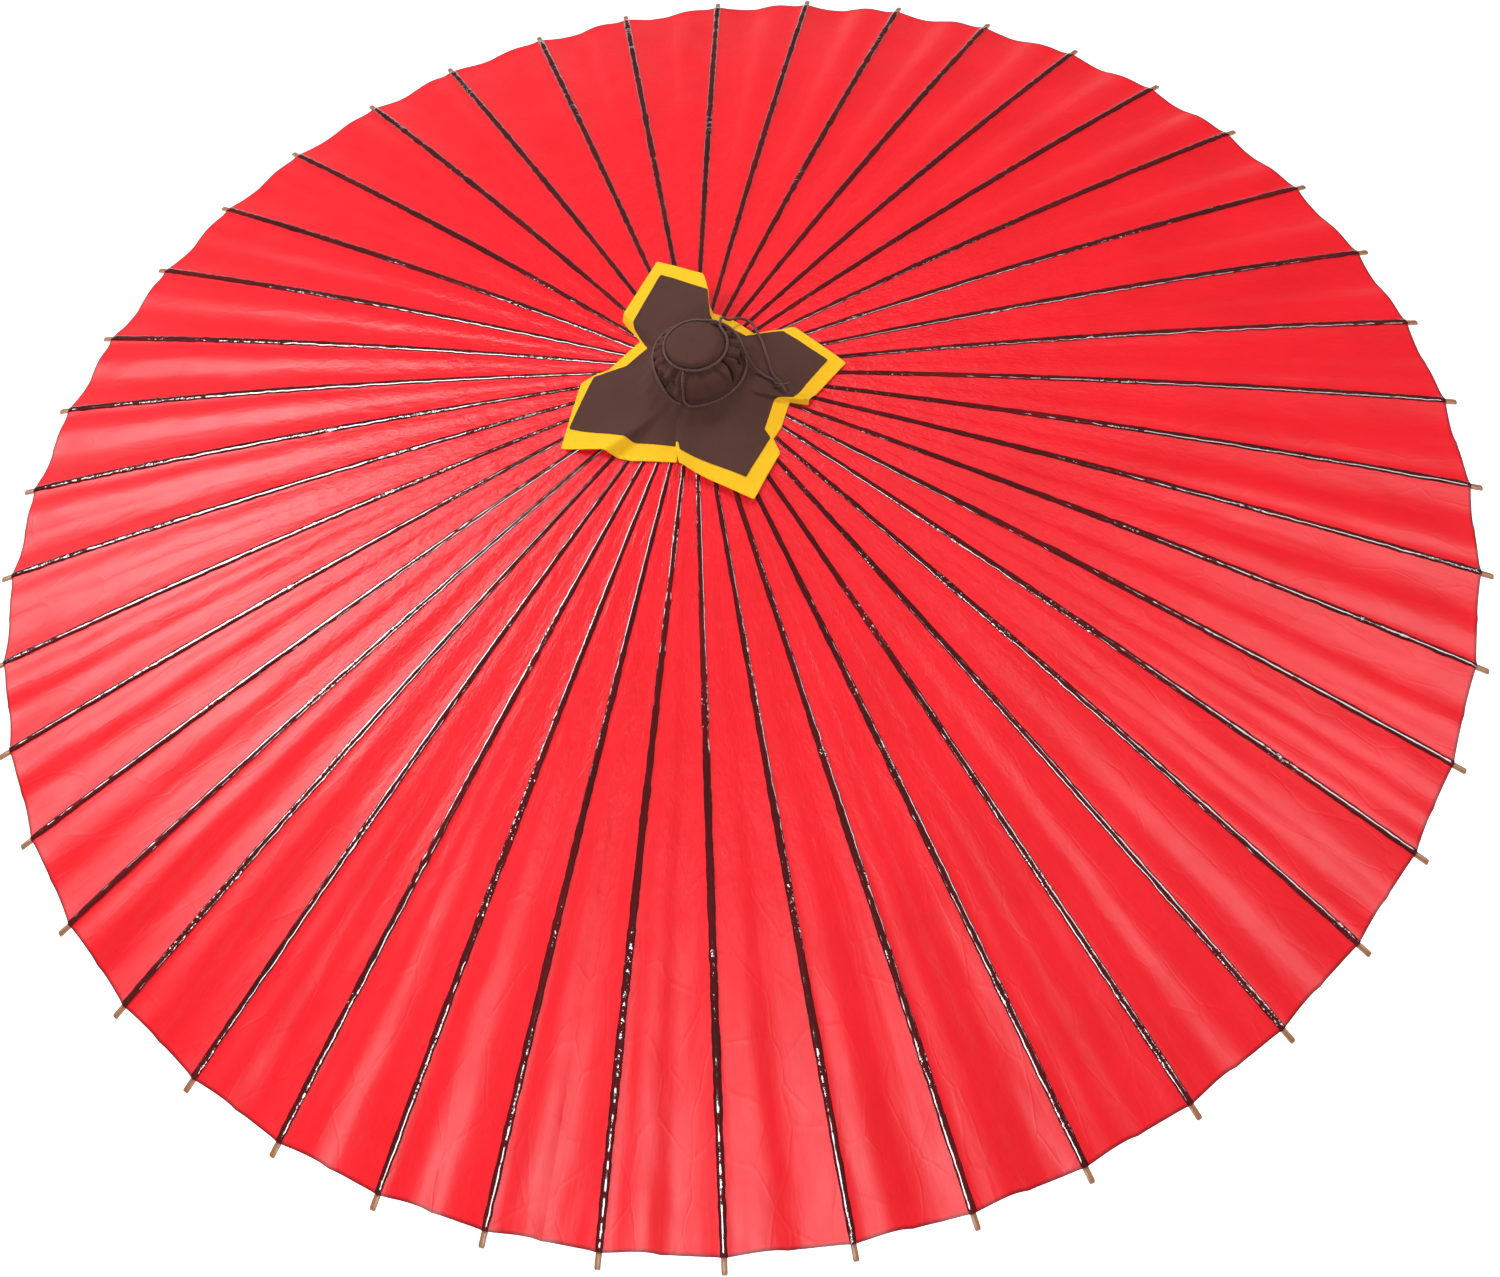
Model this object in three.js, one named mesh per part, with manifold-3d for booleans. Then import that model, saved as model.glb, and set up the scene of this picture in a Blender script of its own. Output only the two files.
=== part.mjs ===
// A large oil-paper sunshade umbrella, open, standing upright on its pole.
// Millimetres, +Z up the pole, origin at the centre of the pole's foot.
//
// A two-part pole carries a turned wooden head hub near its top. 44 split bamboo
// ribs hinge in the hub's slots on a ring of binding thread, and a sliding runner
// lower down the pole holds 44 struts that prop the ribs from below. Oiled paper
// is pasted over the ribs, with a thread along its rim. A square two-layer cloth
// is tied over the head with two turns of cord.
import * as THREE from "three";
import Module from "manifold-3d";

const wasm = await Module();
wasm.setup();

// ------------------------------------------------------------------ dimensions
const TIP_R = 889.3; // circle through the rib tips
const RIM_Z = 1834; // plane of the rib tips
const RISE = 0.36; // height of the cone over its radius
const BOW = 0.06; // extra height of the bowed ribs, as a share of the radius
const RIBS = 44;
const FIRST_RIB_DEG = -24.53;
const RIB_STEP_DEG = 360 / RIBS;
// Each rib was split and set by hand, so each stands a little off its even place.
const RIB_OFF_DEG = [
  0.17, -0.12, 0.28, 0.23, 0.07, -0.11, -0.27, -0.15, -0.06, -0.42, -0.57,
  -0.29, -0.08, -0.1, -0.07, 0.01, -0.01, 0.02, 0.0, 0.1, 0.06, -0.11, -0.13,
  0.21, 0.28, 0.34, 0.38, 0.33, 0.65, 0.28, 0.42, 0.2, 0.29, 0.17, 0.14, -0.05,
  0.0, -0.05, -0.13, -0.33, -0.13, -0.1, -0.08, 0.18,
];

const POLE_R = 16;
const FOOT_R = 19;
const FOOT_H = 80;
const SLEEVE_R = 18.7;
const SLEEVE_LOW = 980;
const SLEEVE_TOP = 1140;
const JOINT_Z = 1060; // where the two halves of the pole meet
const POLE_TOP = 2188;
const BORE_R = 16.7; // the hub's and the runner's bore

const PIVOT_R = 34; // rib hinge in the hub
const PIVOT_Z = 2138;
const HUB_R = 41;
const HUB_LOW = 2127;
const HUB_HIGH = 2148;
const HUB_SLOT_R = 27;
const HUB_SLOT = 3.0;
const HUB_TOP = 2196;

const RIB_NECK = 2.4;
const RIB_ROOT_W = 2.9;
const RIB_TIP_W = 6.3;
const RIB_UNDER_PAPER = 1.9; // the ribs' top edge below the paper's face
const EYE_R = 2.1;
const THREAD_R = 0.9;

const RUN_PIVOT_R = 30; // strut hinge in the runner
const RUN_PIVOT_Z = 1824;
const RUN_R = 38;
const RUN_TOP = 1834;
const RUN_LOW = 1748;
const RUN_SLOT_R = 25.4;
const RUN_SLOT = 2.7;
const STRUT_NECK = 2.0;
const STRUT_W = 3.0;
const STRUT_TONGUE = 1.8;
const STRUT_END = [409, 176]; // radius, and height over the rim plane
const RIB_SLOT = 2.4;

const PAPER = 0.9;
const PAPER_IN = 46;
const PAPER_OUT = 875.4;
const PANEL_DIP = 4; // how far the paper sags half way between two ribs, at the rim

const CLOTH = 0.8; // one layer of the head cloth
const CLOTH_GAP = 0.3;
const CORD_R = 1.5;
// The lining's edge: degrees round the head, radius. Four corners and the pleats between.
const CLOTH_EDGE = [
  [-167.1, 164.2],
  [-136.8, 116.6],
  [-109.7, 102.6],
  [-106, 112],
  [-76.2, 157],
  [-54.5, 128.4],
  [-51, 112],
  [-41.8, 109.1],
  [-25.4, 104.4],
  [-21.9, 123.9],
  [3.7, 166.7],
  [29.3, 134.8],
  [32.5, 113],
  [38.5, 91.7],
  [59.1, 98.5],
  [73.5, 104.3],
  [76, 130.3],
  [79, 151.5],
  [96.4, 181],
  [123.5, 127.3],
  [127, 92],
  [153.8, 104],
  [157.6, 119.9],
  [162.3, 133],
  [192.9, 164.2],
];
const LINING_SHOWS = 21; // width of the lining past the top cloth's edge
// The back flap stands up off the paper: its angles, and its lift at its tip.
const RAISED_FROM_DEG = [71, 78];
const RAISED_TO_DEG = [118.5, 126.5];
const RAISED_R = [56, 182];
const RAISED_LIFT = 34;

// -------------------------------------------------------------------- helpers
const rad = THREE.MathUtils.degToRad;
const ribAngle = (i) => rad(FIRST_RIB_DEG - i * RIB_STEP_DEG + RIB_OFF_DEG[i]);
const paperZ = (r) => {
  const q = r / TIP_R;
  return RIM_Z + TIP_R * (RISE * (1 - q) + BOW * q * (1 - q));
};

function welded(geometry) {
  // One shared vertex per place, positions only.
  const p = geometry.attributes.position;
  const order = geometry.index ? geometry.index.array : null;
  const n = order ? order.length : p.count;
  const seen = new Map();
  const places = [];
  const tris = [];
  for (let k = 0; k < n; k++) {
    const i = order ? order[k] : k;
    const key = [p.getX(i), p.getY(i), p.getZ(i)]
      .map((v) => Math.round(v * 2000))
      .join(",");
    if (!seen.has(key)) {
      seen.set(key, places.length / 3);
      places.push(p.getX(i), p.getY(i), p.getZ(i));
    }
    tris.push(seen.get(key));
  }
  const kept = [];
  for (let k = 0; k < tris.length; k += 3) {
    const [a, b, c] = [tris[k], tris[k + 1], tris[k + 2]];
    if (a !== b && b !== c && a !== c) kept.push(a, b, c);
  }
  return [new Float32Array(places), new Uint32Array(kept)];
}

function solid(geometry) {
  const [vertProperties, triVerts] = welded(geometry);
  return new wasm.Manifold(
    new wasm.Mesh({ numProp: 3, vertProperties, triVerts }),
  );
}

function geometryOf(manifold) {
  const mesh = manifold.getMesh();
  const g = new THREE.BufferGeometry();
  const n = mesh.numProp;
  const v = mesh.vertProperties;
  const p = new Float32Array((v.length / n) * 3);
  for (let i = 0; i < v.length / n; i++)
    for (let k = 0; k < 3; k++) p[3 * i + k] = v[n * i + k];
  g.setAttribute("position", new THREE.BufferAttribute(p, 3));
  g.setIndex(Array.from(mesh.triVerts));
  return g.toNonIndexed();
}

// A round solid from [radius, height] points, bottom to top, about Z.
function turned(points, sides = 24, turn = 0) {
  const g = new THREE.LatheGeometry(
    points.map(([r, z]) => new THREE.Vector2(r, z)),
    sides,
  );
  g.rotateX(Math.PI / 2);
  g.rotateZ(turn);
  return g;
}

// An outline in the radius-height plane, [radius, height], with a thickness
// along the circle. width(r) gives the thickness at each radius.
function blade(outline, width, holes = []) {
  const shape = new THREE.Shape(outline.map(([r, z]) => new THREE.Vector2(r, z)));
  for (const hole of holes)
    shape.holes.push(new THREE.Path(hole.map(([r, z]) => new THREE.Vector2(r, z))));
  const g = new THREE.ExtrudeGeometry(shape, { depth: 1, bevelEnabled: false });
  g.translate(0, 0, -0.5);
  g.rotateX(Math.PI / 2); // radius along X, height along Z, thickness along Y
  const p = g.attributes.position;
  for (let i = 0; i < p.count; i++) p.setY(i, p.getY(i) * width(p.getX(i)));
  return g;
}

function box(x0, x1, y0, y1, z0, z1) {
  const g = new THREE.BoxGeometry(x1 - x0, y1 - y0, z1 - z0);
  g.translate((x0 + x1) / 2, (y0 + y1) / 2, (z0 + z1) / 2);
  return g;
}

function between(x, table) {
  if (x <= table[0][0]) return table[0][1];
  for (let i = 1; i < table.length; i++)
    if (x <= table[i][0]) {
      const [x0, y0] = table[i - 1];
      const [x1, y1] = table[i];
      return y0 + ((y1 - y0) * (x - x0)) / (x1 - x0);
    }
  return table[table.length - 1][1];
}

// A closed skin over rings of points: rings[i][j] is [x, y, z] of ring i at angle j.
// top runs from the innermost ring out, bottom likewise. closed gives each face one
// middle point, which stands for the innermost ring.
function skin(top, bottom, closed) {
  const places = [];
  const tris = [];
  const n = top[top.length - 1].length;
  const put = (ring) => {
    const at = places.length / 3;
    for (const p of ring) places.push(...p);
    return at;
  };
  const a = top.map(put);
  const b = bottom.map(put);
  const quad = (p, q, r, s) => tris.push(p, q, r, p, r, s);
  const first = closed ? 1 : 0;
  for (let j = 0; j < n; j++) {
    const k = (j + 1) % n;
    for (let i = first; i < top.length - 1; i++) {
      quad(a[i] + j, a[i + 1] + j, a[i + 1] + k, a[i] + k);
      quad(b[i] + j, b[i] + k, b[i + 1] + k, b[i + 1] + j);
    }
    const m = top.length - 1;
    quad(a[m] + j, b[m] + j, b[m] + k, a[m] + k);
    if (closed) {
      tris.push(a[0], a[1] + j, a[1] + k);
      tris.push(b[0], b[1] + k, b[1] + j);
    } else quad(a[0] + k, b[0] + k, b[0] + j, a[0] + j);
  }
  const g = new THREE.BufferGeometry();
  g.setAttribute(
    "position",
    new THREE.BufferAttribute(new Float32Array(places), 3),
  );
  g.setIndex(tris);
  return g.toNonIndexed();
}

// A ring of thread: a polygon through the given angles, with a small square section.
function threadRing(angles, radius, height, half, sides = 6) {
  const rings = [];
  for (let s = 0; s < sides; s++) {
    const t = (2 * Math.PI * (s + 0.5)) / sides;
    const dr = (half * Math.cos(t)) / Math.cos(Math.PI / sides);
    const dz = (half * Math.sin(t)) / Math.cos(Math.PI / sides);
    rings.push(
      angles.map((a) => [
        (radius + dr) * Math.cos(a),
        (radius + dr) * Math.sin(a),
        height(a) + dz,
      ]),
    );
  }
  const places = rings.flat(2);
  const n = angles.length;
  const tris = [];
  for (let s = 0; s < sides; s++)
    for (let j = 0; j < n; j++) {
      const t = (s + 1) % sides;
      const k = (j + 1) % n;
      tris.push(s * n + j, s * n + k, t * n + k, s * n + j, t * n + k, t * n + j);
    }
  const g = new THREE.BufferGeometry();
  g.setAttribute(
    "position",
    new THREE.BufferAttribute(new Float32Array(places), 3),
  );
  g.setIndex(tris);
  return g.toNonIndexed();
}

const group = new THREE.Group();
const wood = (color, roughness = 0.6) =>
  new THREE.MeshStandardMaterial({ color, roughness, metalness: 0 });
const metal = (color) =>
  new THREE.MeshStandardMaterial({ color, roughness: 0.35, metalness: 1 });

function add(name, geometry, material, turn = 0) {
  const g = geometry.isBufferGeometry ? geometry : geometryOf(geometry);
  g.computeVertexNormals();
  const mesh = new THREE.Mesh(g, material);
  mesh.name = name;
  mesh.rotation.z = turn;
  group.add(mesh);
  return mesh;
}

// ------------------------------------------------------------------------ pole
const poleWood = wood(0x3a1512, 0.35);
const brass = metal(0xb08a45);
const turnedWood = wood(0x8a5a30, 0.5);
const bamboo = wood(0xb5713a, 0.45);

add(
  "foot_ferrule",
  turned([
    [0, 0],
    [FOOT_R - 1.5, 0],
    [FOOT_R, 1.5],
    [FOOT_R, FOOT_H],
    [POLE_R + 0.4, FOOT_H],
    [POLE_R + 0.4, 6],
    [0, 6],
  ]),
  brass,
);
add(
  "lower_pole",
  turned([
    [0, 6.3],
    [POLE_R, 6.3],
    [POLE_R, JOINT_Z],
    [0, JOINT_Z],
  ]),
  poleWood,
);
add(
  "joint_sleeve",
  turned([
    [POLE_R + 0.4, SLEEVE_LOW],
    [SLEEVE_R, SLEEVE_LOW],
    [SLEEVE_R, SLEEVE_LOW + 8],
    [SLEEVE_R - 0.7, SLEEVE_LOW + 9],
    [SLEEVE_R - 0.7, SLEEVE_TOP - 9],
    [SLEEVE_R, SLEEVE_TOP - 8],
    [SLEEVE_R, SLEEVE_TOP],
    [POLE_R + 0.4, SLEEVE_TOP],
    [POLE_R + 0.4, SLEEVE_LOW],
  ]),
  brass,
);

// The upper half of the pole, with a pocket for the spring catch below the runner.
const POCKET = [8, 20, -3.2, 3.2, 1678, 1752];
add(
  "upper_pole",
  solid(
    turned([
      [0, JOINT_Z + 0.3],
      [POLE_R, JOINT_Z + 0.3],
      [POLE_R, POLE_TOP],
      [0, POLE_TOP],
    ]),
  ).subtract(solid(box(...POCKET))),
  poleWood,
);

// The catch: a springy strip let into the pocket, with a nose under the runner.
add(
  "runner_catch",
  blade(
    [
      [8.6, 1678.6],
      [12.6, 1678.6],
      [13.2, 1700],
      [17.2, 1722],
      [20.6, 1741],
      [20.6, 1747.3],
      [16.4, 1747.3],
      [14.2, 1728],
      [9.8, 1700],
      [8.6, 1690],
    ],
    () => 5.4,
  ),
  brass,
);

// -------------------------------------------------------------------- head hub
const slotAngles = Array.from({ length: RIBS }, (_, i) => ribAngle(i));
const sorted = slotAngles
  .map((a) => THREE.MathUtils.euclideanModulo(a, 2 * Math.PI))
  .sort((a, b) => a - b);
const middles = sorted.map((a, i) => {
  const next = i + 1 < sorted.length ? sorted[i + 1] : sorted[0] + 2 * Math.PI;
  return (a + next) / 2;
});

function slotted(body, inner, outer, width, low, high) {
  // Cuts one radial slot for each rib.
  let cutters = null;
  for (const a of slotAngles) {
    const g = box(inner, outer, -width / 2, width / 2, low, high);
    g.rotateZ(a);
    const s = solid(g);
    cutters = cutters ? cutters.add(s) : s;
  }
  return body.subtract(cutters);
}

const hubBlank = solid(
  turned(
    [
      [BORE_R, HUB_LOW - 9],
      [25, HUB_LOW - 9],
      [25, HUB_LOW],
      [HUB_R, HUB_LOW],
      [HUB_R, HUB_HIGH - 3],
      [21, HUB_HIGH + 8],
      [20.5, HUB_TOP - 18],
      [21.8, HUB_TOP - 10],
      [21.8, HUB_TOP],
      [0, HUB_TOP],
      [0, POLE_TOP + 0.6],
      [BORE_R, POLE_TOP + 0.6],
      [BORE_R, HUB_LOW - 9],
    ],
    RIBS,
    rad(FIRST_RIB_DEG),
  ),
);
const hubGroove = solid(
  turned(
    [
      [PIVOT_R - 1.6, HUB_LOW - 1],
      [PIVOT_R + 1.6, HUB_LOW - 1],
      [PIVOT_R + 1.6, PIVOT_Z + 1.8],
      [PIVOT_R - 1.6, PIVOT_Z + 1.8],
      [PIVOT_R - 1.6, HUB_LOW - 1],
    ],
    RIBS,
    rad(FIRST_RIB_DEG),
  ),
);
add(
  "head_hub",
  slotted(
    hubBlank.subtract(hubGroove),
    HUB_SLOT_R,
    HUB_R + 5,
    HUB_SLOT,
    HUB_LOW - 1,
    HUB_HIGH + 1,
  ),
  turnedWood,
);
add(
  "hub_thread",
  threadRing(middles, PIVOT_R, () => PIVOT_Z, THREAD_R, 4),
  wood(0x1c1412, 0.8),
);

// ------------------------------------------------------------------------ ribs
const ribTop = (r) => paperZ(r) - RIB_UNDER_PAPER;
const ribDepth = (r) =>
  between(r, [
    [46, 7.6],
    [150, 7.2],
    [480, 6.2],
    [TIP_R, 4.3],
  ]);
const ribWidth = (r) =>
  r <= 44
    ? RIB_NECK
    : RIB_ROOT_W + ((RIB_TIP_W - RIB_ROOT_W) * (r - 47)) / (TIP_R - 47);
const stations = [44, 47, 230, 440, 660, TIP_R];
const ribOutline = [
  [29.2, PIVOT_Z - 4],
  [38, PIVOT_Z - 5],
  ...stations.map((r) => [r, ribTop(r) - ribDepth(r)]),
  ...[...stations].reverse().map((r) => [r, ribTop(r)]),
  [29.2, PIVOT_Z + 4],
];
const eye = Array.from({ length: 4 }, (_, k) => {
  const t = (Math.PI / 2) * k;
  return [PIVOT_R + EYE_R * Math.cos(t), PIVOT_Z + EYE_R * Math.sin(t)];
});
const ribSolid = solid(blade(ribOutline, ribWidth, [eye])).subtract(
  solid(
    box(
      STRUT_END[0] - 7,
      STRUT_END[0] + 7,
      -RIB_SLOT / 2,
      RIB_SLOT / 2,
      ribTop(418) - 12,
      ribTop(418) - 2.2,
    ),
  ),
);
const ribGeometry = geometryOf(ribSolid);
for (let i = 0; i < RIBS; i++)
  add(
    "rib_" + String(i + 1).padStart(2, "0"),
    ribGeometry.clone(),
    bamboo,
    slotAngles[i],
  );

// ---------------------------------------------------------------------- runner
const runnerBlank = solid(
  turned(
    [
      [BORE_R, RUN_LOW],
      [30, RUN_LOW],
      [30, RUN_LOW + 9],
      [25.4, RUN_LOW + 16],
      [25.4, RUN_TOP - 34],
      [RUN_R, RUN_TOP - 22],
      [RUN_R, RUN_TOP],
      [BORE_R, RUN_TOP],
      [BORE_R, RUN_LOW],
    ],
    RIBS,
    rad(FIRST_RIB_DEG),
  ),
);
const runnerGroove = solid(
  turned(
    [
      [RUN_PIVOT_R - 1.3, RUN_PIVOT_Z - 2.4],
      [RUN_PIVOT_R + 1.3, RUN_PIVOT_Z - 2.4],
      [RUN_PIVOT_R + 1.3, RUN_TOP + 2],
      [RUN_PIVOT_R - 1.3, RUN_TOP + 2],
      [RUN_PIVOT_R - 1.3, RUN_PIVOT_Z - 2.4],
    ],
    RIBS,
    rad(FIRST_RIB_DEG),
  ),
);
add(
  "runner",
  slotted(
    runnerBlank.subtract(runnerGroove),
    RUN_SLOT_R,
    RUN_R + 5,
    RUN_SLOT,
    RUN_PIVOT_Z - 6,
    RUN_TOP + 3,
  ),
  turnedWood,
);

// Struts: one flat bamboo bar for each rib, all strung on the runner's thread.
const strutSlope =
  (STRUT_END[1] + RIM_Z - RUN_PIVOT_Z) / (STRUT_END[0] - RUN_PIVOT_R);
const strutZ = (r) => RUN_PIVOT_Z + (r - RUN_PIVOT_R) * strutSlope;
const strutWidth = (r) =>
  r < 40 ? STRUT_NECK : r > 393 ? STRUT_TONGUE : STRUT_W;
const strutOutline = [
  [27.4, strutZ(27.4) - 2.8],
  [39.5, strutZ(39.5) - 3],
  [390, strutZ(390) - 3],
  [411, strutZ(411) - 2.2],
  [411, strutZ(411) + 1.8],
  [390, strutZ(390) + 3],
  [39.5, strutZ(39.5) + 3],
  [27.4, strutZ(27.4) + 2.8],
];
const strutGeometry = blade(strutOutline, strutWidth);
let strutSet = solid(
  threadRing(middles, RUN_PIVOT_R, () => RUN_PIVOT_Z, 0.6, 3),
);
for (const a of slotAngles) {
  const g = strutGeometry.clone();
  g.rotateZ(a);
  strutSet = strutSet.add(solid(g));
}
add("strut_set", strutSet, bamboo);

// -------------------------------------------------------------- paper and rim
const paperAngles = [];
sorted.forEach((a, i) => paperAngles.push([a, 0], [middles[i], 1]));
const paperRadii = [PAPER_IN, 230, 440, 660, PAPER_OUT];
const paperRing = (down) =>
  paperRadii.map((r) =>
    paperAngles.map(([a, middle]) => [
      r * Math.cos(a),
      r * Math.sin(a),
      paperZ(r) - down - (middle ? (PANEL_DIP * r) / PAPER_OUT : 0),
    ]),
  );
add("canopy", skin(paperRing(0), paperRing(PAPER), false), wood(0xe8202c, 0.4));
add(
  "rim_thread",
  threadRing(
    paperAngles.map(([a]) => a),
    PAPER_OUT + 1.2,
    () => paperZ(PAPER_OUT + 1.2) - 0.7,
    0.4,
    3,
  ),
  wood(0x3a0c0c, 0.8),
);

// ------------------------------------------------------------------ head cloth
const CLOTH_STEPS = 72;
const clothAngles = Array.from(
  { length: CLOTH_STEPS },
  (_, k) => rad(-166.5) + (2 * Math.PI * k) / CLOTH_STEPS,
);
const edgeAt = (a) => between(THREE.MathUtils.radToDeg(a), CLOTH_EDGE);
const step = (x, [from, to]) => {
  const t = Math.min(Math.max((x - from) / (to - from), 0), 1);
  return t * t * (3 - 2 * t);
};
const clothZ = (a, r) => {
  const deg = THREE.MathUtils.radToDeg(a);
  const [near, tip] = RAISED_R;
  const raised = step(deg, RAISED_FROM_DEG) * (1 - step(deg, RAISED_TO_DEG));
  const out = Math.max((r - near) / (tip - near), 0);
  return paperZ(r) + 2.8 + raised * RAISED_LIFT * out;
};
// The tied part of the cloth: radius, height over the rim plane, and how much of
// the sideways set of the head it takes.
const HEAD_SET = [5.5, 5];
const CROWN = [
  [0, 366, 1],
  [31.6, 366, 1],
  [32, 357, 1],
  [43.5, 348, 1],
  [47.2, 338, 1],
  [50, 322, 0.75],
  [57, 311.5, 0.4],
  [64, 304.5, 0.1],
];
function clothRings(down, lining) {
  // The top cloth's outer face moved inwards by down, one line for each angle.
  const perAngle = clothAngles.map((a) => {
    // Both layers share every place as far as the top cloth reaches.
    const edge = Math.max(edgeAt(a) - LINING_SHOWS, 68);
    const line = CROWN.map(([r, z, set]) => [r, z + RIM_Z, set]);
    for (const r of [(64 + edge) / 2, edge]) line.push([r, clothZ(a, r), 0]);
    if (lining) line.push([edgeAt(a), clothZ(a, edgeAt(a)), 0]);
    return line.map(([r, z, set], i) => {
      const [r0, z0] = line[Math.max(i - 1, 0)];
      const [r1, z1] = line[Math.min(i + 1, line.length - 1)];
      const length = Math.hypot(r1 - r0, z1 - z0);
      // the outline runs outwards and down, so its inward side is to its right
      const nr = (z1 - z0) / length;
      const nz = -(r1 - r0) / length;
      const shift = i === 0 ? [0, -down] : [nr * down, nz * down];
      return [Math.max(r + shift[0], 0), z + shift[1], a, set];
    });
  });
  return perAngle[0].map((_, i) =>
    i === 0
      ? [[...HEAD_SET, perAngle[0][0][1]]]
      : perAngle.map((line) => [
          line[i][0] * Math.cos(line[i][2]) + HEAD_SET[0] * line[i][3],
          line[i][0] * Math.sin(line[i][2]) + HEAD_SET[1] * line[i][3],
          line[i][1],
        ]),
  );
}
add(
  "head_cover",
  skin(clothRings(0, false), clothRings(CLOTH, false), true),
  wood(0x543c37, 0.9),
);
add(
  "head_cover_lining",
  skin(
    clothRings(CLOTH + CLOTH_GAP, true),
    clothRings(2 * CLOTH + CLOTH_GAP, true),
    true,
  ),
  wood(0xffd728, 0.9),
);

// ------------------------------------------------------------------- tie cords
// A point is [degrees, radius, height over the rim plane], from the pole's line, or
// from the middle of the tied head when it ends in HEAD.
const HEAD = 1;
function cord(points, steps) {
  const path = new THREE.CatmullRomCurve3(
    points.map(
      ([deg, r, z, from]) =>
        new THREE.Vector3(
          r * Math.cos(rad(deg)) + (from === HEAD ? HEAD_SET[0] : 0),
          r * Math.sin(rad(deg)) + (from === HEAD ? HEAD_SET[1] : 0),
          z + RIM_Z,
        ),
    ),
    false,
    "centripetal",
  );
  const section = new THREE.Shape();
  for (let k = 0; k < 8; k++) {
    const t = (Math.PI * 2 * k) / 8;
    const p = [CORD_R * Math.cos(t), CORD_R * Math.sin(t)];
    if (k) section.lineTo(...p);
    else section.moveTo(...p);
  }
  return new THREE.ExtrudeGeometry(section, {
    extrudePath: path,
    steps,
    bevelEnabled: false,
    curveSegments: 8,
  });
}
const turnPoints = (from, to, r, z, step = 12) => {
  const n = Math.round(Math.abs(to - from) / step);
  return Array.from({ length: n + 1 }, (_, k) => [
    from + ((to - from) * k) / n,
    r,
    z,
    HEAD,
  ]);
};
const cordMaterial = wood(0x462328, 0.7);
// The drawn cord: from its knot up to the neck of the crown, once round it, and
// back over the cloth in a long bight to the knot.
add(
  "cover_cord_upper",
  cord(
    [
      [-17.2, 88.5, 300],
      [-12, 84.9, 301],
      [-9, 76, 303.2],
      [-5.2, 68.6, 306.6],
      [-3.4, 63.8, 313.6],
      [-3.4, 61.2, 322],
      [-2.4, 58.6, 331],
      [1, 56.4, 339.5],
      [8, 54.8, 346],
      [16, 53.9, 349.6],
      [26, 52.6, 350.9],
      [36, 50.4, 352.4],
      [46, 46.8, 355.2],
      [54, 43.8, 357.4],
      ...turnPoints(66, 382, 34.5, 357.7),
      [34.5, 43.2, 358.8],
      [40, 47.8, 358.8],
      [44.5, 54, 355],
      [48, 61.5, 345],
      [51, 70, 331],
      [53.4, 81.5, 315],
      [53.8, 92, 304.6],
      [51, 98.5, 299],
      [47.2, 100.6, 296.8],
      [42.5, 98.8, 297],
      [37.2, 94.3, 298.6],
      [32.3, 90.8, 299.8],
      [25.9, 87.8, 300.3],
      [17.5, 83.9, 300.8],
      [9.2, 82, 301],
      [0, 81.6, 301.1],
      [-7.8, 84.4, 301.3],
      [-13.2, 89.6, 303.6],
    ],
    96,
  ),
  cordMaterial,
);
// The second turn: down the front from the neck, then once round under the bulge.
add(
  "cover_cord_lower",
  cord(
    [
      [-119.5, 36.9, 356.2, HEAD],
      [-118.6, 41.35, 352.6, HEAD],
      [-117.2, 46.9, 346.6, HEAD],
      [-116.4, 49, 341, HEAD],
      [-116, 50.9, 334, HEAD],
      [-115.4, 52.5, 328.6, HEAD],
      [-113.2, 54.2, 324.4, HEAD],
      [-109, 55.1, 322, HEAD],
      [-103, 55, 321.6, HEAD],
      [-96, 54.7, 321.7, HEAD],
      [-87, 54.1, 322.2, HEAD],
      [-75, 53.2, 322.3, HEAD],
      [-62, 52.8, 322.2, HEAD],
      [-47, 52.4, 322, HEAD],
      [-30, 52.2, 321.6, HEAD],
      [-12, 52, 322.4, HEAD],
      [5, 51.6, 325, HEAD],
      [20, 51, 328, HEAD],
      [40, 50.7, 331, HEAD],
      [60, 50.3, 334, HEAD],
      [80, 50, 336, HEAD],
      [100, 49.7, 338, HEAD],
      [120, 49, 340, HEAD],
      [140, 48.5, 341.5, HEAD],
      [160, 48.3, 342, HEAD],
      [178, 48.5, 341.4, HEAD],
      [194, 49.3, 339, HEAD],
      [205, 50.4, 336, HEAD],
      [217, 52.1, 330, HEAD],
      [229, 54, 323.6, HEAD],
      [241, 55, 321.4, HEAD],
    ],
    58,
  ),
  cordMaterial,
);

export default group;
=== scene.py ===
"""A large red oil-paper umbrella with a tied cloth over its head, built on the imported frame. Metres, +Z up the pole."""

import math

import bpy
import numpy as np
from mathutils import Matrix, Vector


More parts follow.
